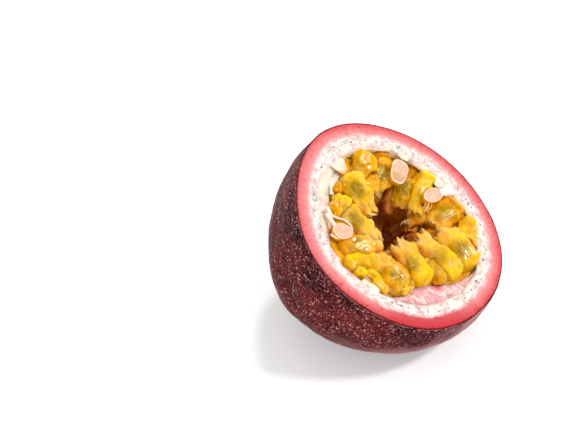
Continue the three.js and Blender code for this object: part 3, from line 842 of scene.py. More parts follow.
def build_shell(form, colours):
    """Purple skin and the red outer flesh under it, as one closed form."""
    angle = circle(SKIN_SIDES)
    rim = form.rim_radius(angle)
    rings = []
    across = np.array(SCAR_RINGS)
    radius, height, dimple, sink = (SCAR[k] for k in ("radius", "height", "dimple", "sink"))
    out = np.where(across <= radius, height - sink, -sink * (1 - smooth(across, radius, dimple)))
    for place, rise in zip(across, out):
        share = (1 - (place / form.rim) ** BODY_POWER) ** (1 / BODY_POWER)
        rings.append(form.outer(angle, share) + stack(0 * angle, 0 * angle, -rise))
    for share in shares_up(SKIN_RINGS)[SKIN_RINGS_IN_SCAR:]:
        rings.append(form.outer(angle, share))
    rings.append(form.outer(angle, 0.006))

    # low ripples on the skin, and its distance down from the rim
    skin = np.array(rings)
    middle = np.array([0, 0, -form.depth * 0.35])
    skin = skin + unit(skin - middle) * relief(skin, SKIN_RIPPLES)[..., None]
    steps = np.linalg.norm(np.diff(skin, axis=0), axis=-1)
    down = np.concatenate([np.cumsum(steps[::-1], axis=0)[::-1], np.zeros((1, SKIN_SIDES))])
    rings = list(skin)
    insets = list(-down - SKIN_LIP)

    # the cut face, then the flesh's inside, which the lining hides
    for inset, z in (*FACE_EDGE, *((inset, 0.0) for inset in np.linspace(0.25, form.red, 16))):
        rings.append(face_point(angle, rim - inset, z))
        insets.append(np.full(SKIN_SIDES, inset))
    flesh = len(insets)
    depth = form.depth - form.red
    for share in shares_up(14)[::-1]:
        rings.append(form.bowl(angle, share, rim - form.red, depth))
        insets.append(np.full(SKIN_SIDES, form.red))
    flow = flow_of(np.array(rings), np.array(insets))
    flow[len(skin):flesh, :, :2] = face_point(angle, rim)[:, :2]
    start = form.outer(0.0, 1.0) + (0, 0, -(height - sink))
    end = form.bowl(0.0, 1.0, form.rim, depth)
    points, faces = from_rings(start, np.array(rings), end)

    # flat where it rests
    points = points @ form.turn.T + form.place
    points[:, 2] = np.maximum(points[:, 2], 0)
    points = (points - form.place) @ form.turn
    shape = Shape()
    shape.add(points, faces, flow=with_ends([*start[:2], insets[0][0]], flow, [0, 0, form.red]))
    piece = shape.make("skin_and_red_flesh", form, shell_material(colours))
    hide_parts("shell")


def shell_material(colours):
    """Specks, weave and painted sheen on the skin, and painted shade near the floor, with the cut face's look
    on the flesh.
    """
    material, w, shader = new_material(
        "Purple skin", IOR=1.4, Specular_IOR_Level=0.02, Subsurface_Radius=(1.0, 0.3, 0.25),
        Subsurface_Scale=0.5 * MM,
    )
    flow = w.vector_of("flow")
    inset = w.parts(flow)["Z"]
    face = w.group("Cut face", {"Flow": flow})
    place = w.place()
    clouds = w.noise(place, 0.13, 3.0, 0.6)
    skin = w.mix(w.ramp(clouds, 0.36, 0.62), colours.skin_deep, colours.skin)
    _, back, up = w.parts(place)
    # painted shade: the skin darkens towards the floor
    skin = w.mix(w.ramp(up, 24.0, 4.0, 0.0, 0.6), skin, colours.low_skin_shade)

    # large and tiny pale specks with a duller weave between, fewer low down as painted shade near the floor
    warp = w.node("ShaderNodeTexNoise", {"Vector": flow, "Scale": 0.7, "Detail": 2.0}).outputs["Color"]
    bent = w.moved(w.scaled(flow, (1.0, 1.0, 0.85)), w.scaled(warp, (1.3, 1.3, 1.3)))
    big = w.cells(bent, 1.35)
    pick = w.parts(big["Color"])
    spot_size = w.ramp(pick["X"], 0.0, 1.0, 0.12, 0.34)
    spot = w.ramp(w.math("SUBTRACT", big["Distance"], spot_size), -0.12, 0.08, 1.0, 0.0)
    tiny = w.cells(bent, 2.3)
    tiny_pick = w.parts(tiny["Color"])
    tiny_size = w.ramp(tiny_pick["X"], 0.1, 1.0, 0.05, 0.42)
    tiny_spot = w.ramp(w.math("SUBTRACT", tiny["Distance"], tiny_size), -0.1, 0.06, 1.0, 0.0)
    weave = w.noise(bent, 2.6, 2.0, 0.6)
    density = w.ramp(w.noise(place, 0.14, 2.0), 0.34, 0.6, 0.65, 1.05)
    density = w.times(density, w.ramp(up, 2.0, 24.0, 0.48, 1.1))
    woven = w.times(w.ramp(weave, 0.52, 0.66), w.times(density, 0.55))
    skin = w.mix(woven, skin, colours.speck_dim)
    skin = w.mix(w.times(tiny_spot, w.times(density, 0.85)), skin, colours.speck_dim)
    bright = w.times(w.ramp(pick["Y"], 0.0, 1.0, 0.35, 1.0), density)
    skin = w.mix(w.times(spot, bright), skin, colours.speck)

    # a pale and a dark line along the cut edge, and painted sheen where the skin is seen at a slant, stronger
    # on the lit side
    bare = w.ramp(w.noise(flow, 0.35, 3.0, 0.7), 0.42, 0.56)
    lip = w.times(w.ramp(inset, *PALE_LINE), bare)
    skin = w.mix(w.times(lip, 0.6), skin, colours.lip)
    skin = w.mix(w.ramp(inset, *DARK_LINE, 0.0, 0.8), skin, colours.skin_deep)
    facing = w.node("ShaderNodeLayerWeight", {"Blend": 0.5}).outputs["Facing"]
    lit_side = w.ramp(back, 20.0, -20.0, 0.15, 1.0)
    skin = w.mix(w.times(w.ramp(facing, 0.6, 1.0), lit_side), skin, colours.painted_sheen)

    # the cut face's look on the flesh
    is_face = w.ramp(inset, *FACE_START)
    w.put(shader.inputs["Base Color"], w.mix(is_face, skin, face["Color"]))
    w.put(shader.inputs["Subsurface Weight"], w.times(is_face, 0.35))
    pores = w.times(w.plus(spot, w.times(w.noise(place, 1.6, 3.0), 1.6)), 0.5)
    height = w.node("ShaderNodeMix", {"Factor": is_face, "A": pores, "B": face["Height"]}, data_type="FLOAT")
    w.put(shader.inputs["Normal"], w.bump(height.outputs["Result"], 0.14 * MM, 0.8))
    w.put(shader.inputs["Roughness"], w.plus(0.42, w.times(w.noise(place, 0.5, 3.0), 0.16)))
    return material


def build_lining(form, colours):
    """White lining: its cut edge, the rounded lip and the wall of the cavity."""
    angle = circle(LINING_SIDES)
    rim = form.rim_radius(angle)
    mouth = around_circle(CAVITY_RIM, angle)
    rings = []
    for share in shares_up(14):
        rings.append(form.bowl(angle, share, rim - form.red - GAP, form.depth - form.red - GAP))
    rings.append(face_point(angle, rim - form.red - 0.02, -0.5))
    hidden = len(rings)
    outer_edge, inner_edge = rim - form.red, mouth + CAVITY_ROUND
    for t in np.linspace(0, 1, 16):
        rings.append(face_point(angle, outer_edge + (inner_edge - outer_edge) * t))
    for t in (0.25, 0.5, 0.72, 0.88):
        out, down = CAVITY_ROUND * (1 - np.sin(t * np.pi / 2)), CAVITY_ROUND * (1 - np.cos(t * np.pi / 2))
        rings.append(face_point(angle, mouth + out, -down))
    for share in np.concatenate([np.linspace(0.06, 0.3, 18), shares_up(20)[::-1][8:]]):
        rings.append(form.cavity(angle, share))
    rings = np.array(rings)

    # soft relief of the edge, and folds of the wall near it
    amount = np.zeros(len(rings))
    amount[hidden + 4:] = np.minimum(1, np.arange(len(rings) - hidden - 4) / 8)
    rings[..., 2] += np.minimum(EDGE_TOP, relief(rings, EDGE_RELIEF) * amount[:, None])
    folds = relief(rings * FOLD_STRETCH, WALL_FOLDS)
    near_edge = smooth(-rings[..., 2], 0.05, 0.6) * (1 - smooth(-rings[..., 2], 3.5, 6.0))
    away = unit(rings * (1, 1, 0))
    rings += away * (np.maximum(folds, -0.2) * near_edge)[..., None]

    # what the mesh carries: distance in from the skin, the wall, the crease and the blush
    steps = np.linalg.norm(np.diff(rings, axis=0), axis=-1)
    inset = np.full(rings.shape[:2], form.red)
    inset[hidden + 1:] += np.cumsum(steps[hidden:], axis=0)
    flow = flow_of(face_point(angle, rim)[None].repeat(len(rings), 0), inset)
    wall = smooth(-rings[..., 2], 0.1, 0.9)
    apart = np.abs(angle_between(angle, math.radians(CREASE["at"])))
    line = 1 - smooth(np.abs(np.linalg.norm(rings[..., :2], axis=-1) - mouth - CREASE["out"]), 0.15, 0.6)
    crease = line * (1 - smooth(apart, *(math.radians(v) for v in CREASE["spread"])))
    off = np.linalg.norm((rings - BLUSH["at"]) * (0.8, 1, 1), axis=-1)
    blush = smooth(off, BLUSH["size"], 0.6) * BLUSH["amount"]
    for value in (wall, blush, crease):
        value[:hidden] = 0
    start = form.bowl(0.0, 1.0, form.rim, form.depth - form.red - GAP)
    end = form.cavity(0.0, 1.0)
    points, faces = from_rings(start, rings, end)
    shape = Shape()
    shape.add(points, faces, flow=with_ends([0, 0, form.red], flow, [0, 0, 30]), wall=with_ends(0, wall, 1),
              crease=with_ends(0, crease, 0), blush=with_ends(0, blush, 0))
    piece = shape.make("white_lining", form, lining_material(colours))
    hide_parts("pith")


def lining_material(colours):
    """The cut face's look on the lining's edge, and pink and cream streaks on its wall."""
    material, w, shader = new_material(
        "White lining", Roughness=0.5, Specular_IOR_Level=0.35, Subsurface_Weight=0.25,
        Subsurface_Radius=(1.0, 0.7, 0.6), Subsurface_Scale=0.8 * MM, Coat_Weight=0.25, Coat_Roughness=0.2,
    )
    flow = w.vector_of("flow")
    across, along, _ = w.parts(flow)
    face = w.group("Cut face", {"Flow": flow})
    wall = w.value_of("wall")
    lines = w.noise(w.scaled(flow, (0.4, 0.4, 1.6)), 0.9, 4.0, 0.65)
    blush = w.noise(w.scaled(flow, (0.7, 0.7, 0.9)), 0.24, 2.0)
    inner = w.mix(w.ramp(lines, 0.4, 0.58), colours.lining, colours.lining_cream)
    pinkness = w.plus(blush, w.towards(across, along, PINK_WALL))
    inner = w.mix(w.ramp(pinkness, 0.42, 0.66, 0.0, 1.0), inner, colours.lining_pink)
    strands = w.noise(w.scaled(flow, (0.9, 0.9, 0.45)), 1.1, 4.0, 0.7)
    pale = w.times(w.ramp(strands, 0.44, 0.58), w.ramp(lines, 0.45, 0.6, 1.0, 0.3))
    inner = w.mix(pale, inner, colours.lining)
    veins = w.ramp(w.noise(w.scaled(flow, (1.0, 1.0, 0.6)), 0.9, 4.0, 0.72), 0.52, 0.68, 0.0, 0.7)
    inner = w.mix(w.times(veins, w.ramp(pinkness, 0.5, 0.7)), inner, colours.vein)
    crease = w.times(w.value_of("crease"), w.ramp(lines, 0.3, 0.55, 0.35, 1.0))
    colour = w.mix(wall, face["Color"], inner)
    notch = w.times(w.value_of("blush"), w.ramp(strands, 0.3, 0.55, 1.0, 0.6))
    colour = w.mix(notch, colour, colours.lining_blush)
    w.put(shader.inputs["Base Color"], w.mix(w.times(crease, 0.7), colour, colours.vein))
    height = w.plus(face["Height"], w.plus(w.times(lines, 1.4), strands))
    w.put(shader.inputs["Normal"], w.bump(height, 0.24 * MM, 0.7))
    return material


def build_bed(form):
    """The wet bed of the pulp: it lines the cavity and holds the open hollow."""
    angle = circle(BED_SIDES)
    level = SHELF_DEPTH + SHELF_SINK * form.bevel(angle)
    rings = [form.cavity(angle, share, GAP * 0.3) for share in shares_up(26)
             if share * CAVITY_DEPTH > level.max() * 1.1]
    wall = len(rings)
    brim = form.cavity(angle, level / CAVITY_DEPTH, GAP * 0.3)
    depth = MOUTH["depth"] + MOUTH["extra"] * np.cos(angle)
    mouth = hollow_point(angle, MOUTH["radius"], depth)
    for t in np.linspace(0, 1, 12):
        ring = brim * (1 - t) + mouth * t
        ring[:, 2] = -level + (level - depth) * t ** 1.3
        rings.append(ring)
    floor = HOLLOW["depth"] - HOLLOW_ROUND
    for t in np.linspace(0.08, 1, 16):
        down = depth + HOLLOW_STEP * min(1, t * 5) + (floor - depth - HOLLOW_STEP) * t
        rings.append(hollow_point(angle, HOLLOW["radius"], down))
    for t in (0.3, 0.6, 0.85):
        radius = HOLLOW["radius"] * math.cos(t * np.pi / 2) ** 0.7
        rise = HOLLOW_ROUND * (1 - math.sin(t * np.pi / 2))
        rings.append(hollow_point(angle, radius, HOLLOW["depth"] - rise))
    rings = np.array(rings)
    rings[wall:, :, 2] += relief(rings[wall:], BED_RELIEF)
    start = form.cavity(0.0, 1.0, GAP)
    end = hollow_point(0.0, 0.0, HOLLOW["depth"])
    points, faces = from_rings(start, rings, end)
    shape = Shape()
    # painted shade: a little crease shade all over the bed, and hollow shade that deepens downward
    shape.add(points, faces, grain=points, tone=0.5, seed=0, pale=0, film=0, crease=0.4,
              deep=smooth(-points[:, 2], 5.0, 11.0) * 0.7)
    piece = shape.make("pulp_bed", form, juice_material("Wet pulp bed", 0.9))
    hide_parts("pulp")


def sac_line(sac):
    """The root of a mouth sac and its heading."""
    root = face_point(math.radians(sac.at), sac.reach, -sac.sink)
    return root, heading_down(math.radians(sac.at + 180 + sac.turn), math.radians(sac.dip))


def nearness(points, others):
    """How near points lie to the other sacs: 1 where they touch, 0 from about a millimetre off. It sets the
    painted crease shade.
    """
    nearest = np.full(len(points), 9.0)
    for sac, root, heading in others:
        along = np.clip((points - root) @ heading / sac.length, 0, 1)
        round_root = np.sqrt(np.clip(1 - (1 - np.minimum(along / ROOT_SHARE, 1)) ** 2, 0, 1))
        reach = sac.width / 2 * round_root * (1 - (1 - sac.tip) * smooth(along, 0.4, 1.0))
        off = np.linalg.norm(points - root - along[:, None] * sac.length * heading, axis=1)
        nearest = np.minimum(nearest, off - reach)
    return smooth(nearest, 1.1, -0.1)


def juice_material(name, weight):
    """Wet, glowing juice flesh, with a paler membrane edge painted as rim light where it is seen at a slant.
    """
    material, w, shader = new_material(
        name, Roughness=0.45, IOR=1.36, Specular_IOR_Level=0.08, Subsurface_Weight=weight,
        Subsurface_Radius=(1.0, 0.92, 0.6), Subsurface_Scale=1.7 * MM, Coat_Roughness=0.055, Coat_IOR=1.45,
    )
    values = {label: w.value_of(label.lower()) for label in JUICE_VALUES}
    look = w.group("Juice flesh", {"Grain": w.vector_of("grain"), **values})
    # painted rim light: a paler membrane edge where the sac is seen at a slant, left off where sacs touch
    facing = w.node("ShaderNodeLayerWeight", {"Blend": 0.5}).outputs["Facing"]
    open_side = w.math("SUBTRACT", 1.0, values["Crease"])
    edge = w.times(w.ramp(facing, 0.66, 0.95, 0.0, 0.8), open_side)
    colour = w.mix(edge, look["Color"], linear(MEMBRANE_RIM_LIGHT))
    w.put(shader.inputs["Base Color"], colour)
    w.put(shader.inputs["Coat Weight"], look["Wet"])
    w.put(shader.inputs["Normal"], w.bump(look["Height"], 0.34 * MM, 0.7))
    return material


def sac_rings(steps, tip, fray):
    """Places along a sac, its width there and how ragged it is: a round root, then a round tip or a
    cut and frayed one."""
    s = (1 - np.cos(np.pi * np.arange(1, steps) / steps)) / 2
    root = np.sqrt(np.maximum(0, 1 - (1 - np.minimum(s / ROOT_SHARE, 1)) ** 2))
    taper = 1 - (1 - tip) * smooth(s, 0.4, 1.0)
    if fray < 0.05:
        end = np.sqrt(np.maximum(0, 1 - ((np.maximum(s, ROUND_TIP) - ROUND_TIP) / (1 - ROUND_TIP)) ** 2))
        return s, root * taper * end, np.zeros_like(s)
    soft = np.where(s > FRAYED_TIP, 1 - 0.1 * ((s - FRAYED_TIP) / (1 - FRAYED_TIP)) ** 2, 1)
    place, width, jagged = np.array(CUT_END).T
    wide = np.concatenate([root * taper * soft, root[-1] * taper[-1] * width])
    return np.concatenate([s, place]), wide, np.concatenate([smooth(s, 0.55, 1.0) ** 1.6, jagged])


def seed_axes(seed):
    """The middle of a cut seed in the cut face, its heading and the way across it."""
    heading = face_point(math.radians(seed.at + seed.turn), 1.0)
    return face_point(math.radians(seed.at), seed.reach), heading, np.cross((0, 0, 1), heading)


def below_seeds(points):
    """Presses points down where a cut seed lies over them."""
    points = points.copy()
    for seed in CUT_SEEDS:
        middle, heading, side = seed_axes(seed)
        along = (points - middle) @ heading / (seed.length / 2)
        aside = (points - middle) @ side / (seed.width / 2)
        limit = -SEED_BED + 4 * SEED_BED * smooth(np.hypot(along, aside), 1.05, 1.8)
        points[:, 2] = np.minimum(points[:, 2], limit)
    return points


def wavy(turn, values):
    """A jagged closed line round a sac through evenly spread values."""
    return np.interp(turn, np.linspace(0, FULL_TURN, len(values) + 1), np.append(values, values[0]))


def squareness(turn, power):
    """How far out a rounded square lies for a circle's radius of 1; a power of 2 is the circle."""
    return (np.abs(np.cos(turn)) ** power + np.abs(np.sin(turn)) ** power) ** (-1 / power)


def spot(along, aside):
    """A soft spot round a place, about 1 wide each way."""
    return np.exp(-(along ** 2) - aside ** 2)


def add_sac(shape, form, sac, root, heading, random, others=(), sides=64, steps=38, shade_shift=0.0):
    """Adds one juice sac to a shape, as a closed lumpy drop."""
    side, above = sideways(heading)
    s, wide, ragged = sac_rings(steps, sac.tip, sac.fray)
    turn = circle(sides)
    jags = 0.9 * wavy(turn, random.uniform(-1, 1, 13)) + 0.7 * wavy(turn, random.uniform(-1, 1, 27))
    corner = squareness(turn, SAC_CORNER)
    x = (np.cos(turn) * corner)[None] * wide[:, None] * sac.width / 2
    y = (np.sin(turn) * corner)[None] * wide[:, None] * sac.width / 2 * SAC_FLATNESS
    ridge = 1 + 0.05 * wavy(turn, random.normal(size=14))[None] * smooth(s, 0.1, 0.6)[:, None]
    along = s[:, None] * sac.length + (sac.fray * jags)[None] * ragged[:, None]
    rings = root + along[..., None] * heading + (x * ridge)[..., None] * side + (y * ridge)[..., None] * above
    value = int(random.integers(1 << 30))
    lumps = relief(rings, SAC_LUMPS, value)
    outward = x[..., None] * side + y[..., None] * above
    rings = rings + unit(outward + 1e-9) * (lumps * np.minimum(1, wide[:, None] * 2))[..., None]
    points, faces = from_rings(root, rings, root + heading * sac.length * s[-1])
    points = below_seeds(form.keep_inside(points, SAC_CLEARANCE))

    # what shows on the side that faces out: the seed, the pale tip and the painted highlight
    place = np.broadcast_to(s[:, None], x.shape)
    open_side = unit(np.array(OPEN_SIDE) - np.dot(OPEN_SIDE, heading) * heading)
    right = np.cross(heading, open_side)
    aside = outward @ right
    shows = smooth(outward @ open_side, -0.2, 0.6)
    seed = spot((place - sac.seed_at) * sac.length / SEED_SPOT[0], (aside - sac.seed_side) / SEED_SPOT[1])
    seed = smooth(seed, 0.05, 0.9) * sac.seed * shows
    pale = smooth(place, 0.95 - 0.62 * sac.pale, 1.02) * min(1.0, sac.pale * 1.15) * np.ones_like(x)
    film = spot((place - sac.highlight_at) * sac.length / sac.highlight_long, (aside - sac.highlight_side) / HIGHLIGHT_WIDTH)
    film = smooth(film * sac.film, 0.2, 0.65) * shows

    # where the patterns of this sac start, and its tone
    offset = random.uniform(-50, 50, 3)
    grain = stack(x + 0 * place, y + 0 * place, place * sac.length) + offset
    tone = sac.tone + (sac.tone_end - sac.tone) * smooth(place, 0.2, 0.7) + random.uniform(-0.05, 0.05)
    # painted shade: deeper down the hollow, and crease shade near the other sacs
    shape.add(
        points, faces, seed=with_ends(0, seed, 0), pale=with_ends(0, pale, pale[-1, 0]),
        film=with_ends(0, film, 0), tone=with_ends(sac.tone, tone, sac.tone_end),
        grain=with_ends(offset, grain, grain[-1, 0]), crease=nearness(points, others),
        deep=smooth(-points[:, 2] + shade_shift, 3.8, 9.0),
    )


def build_mouth_sacs(form):
    """The juice sacs that ring the mouth of the hollow."""
    random = np.random.default_rng(5)
    shape = Shape()
    lines = [(sac, *sac_line(sac)) for sac in MOUTH_SACS]
    for sac, root, heading in lines:
        others = [line for line in lines if line[0] is not sac]
        add_sac(shape, form, sac, root, heading, random, others)
    piece = shape.make("mouth_sacs", form, juice_material("Juice sacs", 0.85))


def random_source(state):
    """The same run of random numbers as the solids use."""
    while True:
        state = (state * 1664525 + 1013904223) % 2 ** 32
        yield state / 2 ** 32


def build_deep_sacs(form):
    """The juice sacs further down, in rings round the hollow."""
    draws = random_source(RING_DRAWS)
    random = np.random.default_rng(6)
    shape = Shape()
    for ring in RINGS:
        spacing = FULL_TURN / ring.count
        for k in range(ring.count):
            angle = spacing * (k + (next(draws) * 2 - 1) * RING_SPREAD)
            depth = ring.depth + (next(draws) * 2 - 1) * RING_RISE
            tip = hollow_point(angle, HOLLOW["radius"] - ring.over, depth)
            heading = heading_down(angle + np.pi, math.radians(ring.dip))
            root = tip - heading * ring.length
            tone = random.uniform(0.5, 1.0)
            sac = Sac(0, 0, 0, ring.length, ring.dip, 0, ring.width, tip=0.6, fray=0.7, tone=tone,
                      tone_end=tone, seed=random.uniform(0.0, 0.5), pale=random.uniform(0.2, 0.7))
            add_sac(shape, form, sac, root, heading, random, sides=32, steps=22, shade_shift=HOLLOW_SHADE_SHIFT)
    piece = shape.make("deep_sacs", form, juice_material("Deep juice sacs", 0.85))


def build_cut_seeds(form, colours):
    """Seeds split by the knife, flat in the cut face, each with a thin pale rim."""
    shape = Shape()
    turn = circle(64)
    c, s = np.cos(turn), np.sin(turn)
    for seed in CUT_SEEDS:
        middle, heading, side = seed_axes(seed)
        middle[2] = SEED_STAND
        kernel_end = 1 - 2 * seed.kernel
        corner = squareness(turn, seed.power)
        wide = seed.width / 2 * (1 + seed.narrow * c)
        outline = stack(c * corner * seed.length / 2, s * corner * wide)
        rings, core, low, top = [], [], [], []
        for size, z, shows in SEED_LEVELS:
            flat = outline * size
            rings.append(middle + flat[:, :1] * heading + flat[:, 1:] * side + np.array([0, 0, z]))
            low.append(smooth(flat[:, 0] / seed.length * 2, kernel_end + 0.05, kernel_end - 0.05))
            core.append(np.full(len(turn), smooth(size, 0.95, 0.86)) * (z > -0.08))
            top.append(np.full(len(turn), float(shows)))
        rings = np.array(rings)
        rings[..., 2] += relief(rings, SEED_RELIEF)
        points, faces = from_rings(middle - (0, 0, SEED_FOOT), rings, middle - (0, 0, 0.1))
        shape.add(points, faces, core=with_ends(0, np.array(core), 1), top=with_ends(0, np.array(top), 1),
                  low=with_ends(0, np.array(low), 0))
    piece = shape.make("cut_seeds", form, seed_material(colours))


def add_strand(shape, points, radii, thick, sides=14, steps=7, amber=0.0, fade=0.0):
    """Adds a cord or flap through points, as a closed tube, flattened by its share of thickness."""
    count = steps * (len(points) - 1) + 1
    t = np.linspace(0, len(points) - 1, count)
    first = np.minimum(t.astype(int), len(points) - 2)
    u = (t - first)[:, None]
    padded = np.concatenate([[2 * points[0] - points[1]], points, [2 * points[-1] - points[-2]]])
    line = spline(*(padded[first + k] for k in range(4)), u)
    radius = np.interp(t, np.arange(len(points)), radii)
    heading = unit(np.gradient(line, axis=0))
    side = unit(np.cross(heading, (0, 0, 1)) + 1e-6)
    up = np.cross(side, heading)
    turn = circle(sides)
    across = np.outer(radius, np.cos(turn))[..., None] * side[:, None]
    rise = (np.outer(radius, np.sin(turn)) * thick)[..., None] * up[:, None]
    rings = line[:, None] + across + rise
    start = line[0] - heading[0] * radius[0] * 0.3
    end = line[-1] + heading[-1] * radius[-1] * 0.3
    if max(radii) > WIDE_FLAP:
        rings = rings + up[:, None] * relief(rings, FLAP_RELIEF)[..., None]
    points, faces = from_rings(start, rings, end)
    share = np.broadcast_to(np.linspace(0, 1, count)[:, None] ** 3, (count, sides))
    shape.add(points, faces, amber=amber + fade * with_ends(0, share, 1))


def build_strands(form, colours):
    """The seeds' cords, the lining's flaps, membranes in the hollow and loose fibres at the tips."""
    shape = Shape()
    for strand in STRANDS:
        right, up, down, radii = np.array(strand.points).T
        points = stack(right * math.sin(FACE_UP) + up * math.cos(FACE_UP),
                       -right * math.cos(FACE_UP) + up * math.sin(FACE_UP), -down)
        add_strand(shape, points, radii, strand.thick, amber=strand.amber, fade=strand.fade)
    random = np.random.default_rng(8)
    for sac in MOUTH_SACS:
        root, heading = sac_line(sac)
        side, above = sideways(heading)
        for _ in range(round(sac.fray * FIBRES_PER_TIP)):
            turn = random.uniform(0, FULL_TURN)
            out = math.cos(turn) * side + math.sin(turn) * above * SAC_FLATNESS
            reach = sac.width / 2 * sac.tip * random.uniform(0.7, 1.0)
            start = root + heading * sac.length * random.uniform(0.86, 0.97) + out * reach
            stray = unit(heading + random.normal(size=3) * 0.35)
            long = random.uniform(0.6, 1.9)
            bend = out * random.uniform(-0.4, 0.4)
            points = np.array([start, start + stray * long * 0.5, start + (stray + bend) * long])
            amber = random.uniform(0.18, 0.4)
            add_strand(shape, points, FIBRE_RADII, 0.7, sides=6, steps=4, amber=amber)
    piece = shape.make("cords_and_membranes", form, strand_material(colours))


def strand_material(colours):
    """White lining flesh that turns amber where a strand says so."""
    material, w, shader = new_material(
        "Cords and membranes", Roughness=0.4, Specular_IOR_Level=0.3, Subsurface_Weight=0.7,
        Subsurface_Radius=(1.0, 0.6, 0.3), Subsurface_Scale=0.8 * MM, Coat_Weight=0.5, Coat_Roughness=0.12,
    )
    amber = w.value_of("amber")
    mottle = w.noise(w.place(), 1.4, 2.0)
    shade = w.plus(amber, w.swing(mottle, 0.25), clamp=True)
    # the amber end is the painted shade of the hollow
    colour = w.stops(shade, [
        (0.0, colours.lining), (0.3, colours.frayed), (0.65, colours.juice_orange),
        (1.0, colours.hollow_shade_juice),
    ])
    w.put(shader.inputs["Base Color"], colour)
    w.put(shader.inputs["Normal"], w.bump(mottle, 0.1 * MM, 0.4))
    return material


def seed_material(colours):
    """A mottled pink kernel in a pale rim, with juice down the sides."""
    material, w, shader = new_material(
        "Cut seeds", Roughness=0.4, Specular_IOR_Level=0.3, Subsurface_Weight=0.4,
        Subsurface_Radius=(1.0, 0.6, 0.4), Subsurface_Scale=0.6 * MM, Coat_Weight=0.4, Coat_Roughness=0.15,
    )
    place = w.place()
    core, top, low = (w.value_of(name) for name in ("core", "top", "low"))
    mottle = w.noise(place, 0.9, 3.0, 0.6)
    kernel = w.mix(w.ramp(mottle, 0.35, 0.7), colours.kernel, colours.kernel_light)
    kernel = w.mix(w.times(low, 0.75), kernel, colours.kernel_low)
    rim = w.mix(w.ramp(top, 0.5, 1.0), colours.juice, colours.seed_rim)
    w.put(shader.inputs["Base Color"], w.mix(core, rim, kernel))
    w.put(shader.inputs["Normal"], w.bump(mottle, 0.15 * MM, 0.5))
    return material


# ---- stage ------------------------------------------------------------------------------------

def camera_matrix(settings, target):
    """The camera stands at its azimuth and elevation from the target and is then turned aside,
    level, until the target falls at its place in the frame."""
    azimuth, elevation = settings.azimuth, settings.elevation
    back = Vector((math.sin(azimuth) * math.cos(elevation), -math.cos(azimuth) * math.cos(elevation),
                   math.sin(elevation)))
    right_of_middle = (FOCUS_PIXEL[0] - VIEW_SIZE[0] / 2) / FOCAL_PIXELS
    above_middle = (VIEW_SIZE[1] / 2 - FOCUS_PIXEL[1]) / FOCAL_PIXELS
    length = math.sqrt(1 + right_of_middle ** 2 + above_middle ** 2)
    look = -back
    level = math.hypot(look.x, look.y)
    aside = math.asin(right_of_middle / length / level)
    heading = math.atan2(look.y, look.x) + aside
    rise = math.atan2(look.z, level * math.cos(aside)) - math.atan(above_middle)
    forward = Vector((math.cos(rise) * math.cos(heading), math.cos(rise) * math.sin(heading), math.sin(rise)))
    right = Vector((math.sin(heading), -math.cos(heading), 0))
    up = right.cross(forward)
    turn = Matrix((right, up, -forward)).transposed().to_4x4()
    return Matrix.Translation(target + back * settings.distance) @ turn


def add_floor(scene, stage):
    """A pale floor, which glows a little."""
    mesh = bpy.data.meshes.new("floor")
    corners = [(x * FLOOR_HALF, y * FLOOR_HALF, 0) for x, y in ((-1, -1), (1, -1), (1, 1), (-1, 1))]
    mesh.from_pydata(corners, [], [(0, 1, 2, 3)])
    material, w, shader = new_material(
        "Pale floor", Roughness=0.7, Emission_Color=(1.0, 1.0, 1.0), Emission_Strength=stage.floor_glow,
    )
    tint = w.noise(w.node("ShaderNodeTexCoord").outputs["Object"], 6.0, 2.0)
    w.put(shader.inputs["Base Color"], w.mix(w.ramp(tint, 0.3, 0.7), stage.floor, stage.floor_shade))
    mesh.materials.append(material)
    floor = bpy.data.objects.new("floor", mesh)
    scene.collection.objects.link(floor)


def add_lights(scene, stage, target):
    """A white surround and soft round lamps that face the fruit."""
    world = bpy.data.worlds.new("Studio")
    world.use_nodes = True
    surround = world.node_tree.nodes["Background"].inputs
    surround["Color"].default_value = (1, 1, 1, 1)
    surround["Strength"].default_value = stage.surround
    scene.world = world
    away = Vector((-math.sin(stage.azimuth), math.cos(stage.azimuth), 0))
    right = Vector((math.cos(stage.azimuth), math.sin(stage.azimuth), 0))
    for name, along, aside, height, size, power in LIGHTS:
        lamp = bpy.data.lights.new(name, "AREA")
        lamp.shape = "DISK"
        lamp.size = size
        lamp.energy = power * stage.light
        holder = bpy.data.objects.new(name, lamp)
        holder.location = target + away * along + right * aside + Vector((0, 0, height))
        holder.rotation_euler = (target - holder.location).to_track_quat("-Z", "Y").to_euler()
        scene.collection.objects.link(holder)


def add_camera(scene, stage, target):
    """The camera, from which the cut face's middle falls at its place in the frame."""
    lens = bpy.data.cameras.new("camera")
    lens.sensor_width = SENSOR
    lens.lens = FOCAL_PIXELS * SENSOR / VIEW_SIZE[0]
    lens.clip_start = 0.02
    camera = bpy.data.objects.new("camera", lens)
    camera.matrix_world = camera_matrix(stage, target)
    scene.collection.objects.link(camera)
    scene.camera = camera


def build_stage(form, stage):
    """Pale floor, soft lights and the camera."""
    scene = bpy.context.scene
    scene.view_settings.view_transform = "Standard"
    target = Vector(form.to_world(np.zeros(3)))
    add_floor(scene, stage)
    add_lights(scene, stage, target)
    add_camera(scene, stage, target)


# ---- settings -----------------------------------------------------------------------------------

def colour_setting(name, description, code):
    """A colour from its code."""
    return bpy.props.FloatVectorProperty(
        name=name, description=description, subtype="COLOR", size=3, min=0, max=1, default=linear(code),
    )


def length_setting(name, description, size):
    """A length from its size in millimetres."""
    return bpy.props.FloatProperty(
        name=name, description=description, unit="LENGTH", subtype="DISTANCE", min=0.0001, default=size * MM,
    )


class FruitSizes(bpy.types.PropertyGroup):
    """Main sizes of the fruit"""

    rim_radius: length_setting("Rim radius", "Mean radius of the cut face", RIM_RADIUS)
    body_depth: length_setting("Body depth", "From the cut face to the far pole", BODY_DEPTH)
    red_thickness: length_setting("Red flesh", "Thickness of the red outer flesh and skin", RED_THICKNESS)


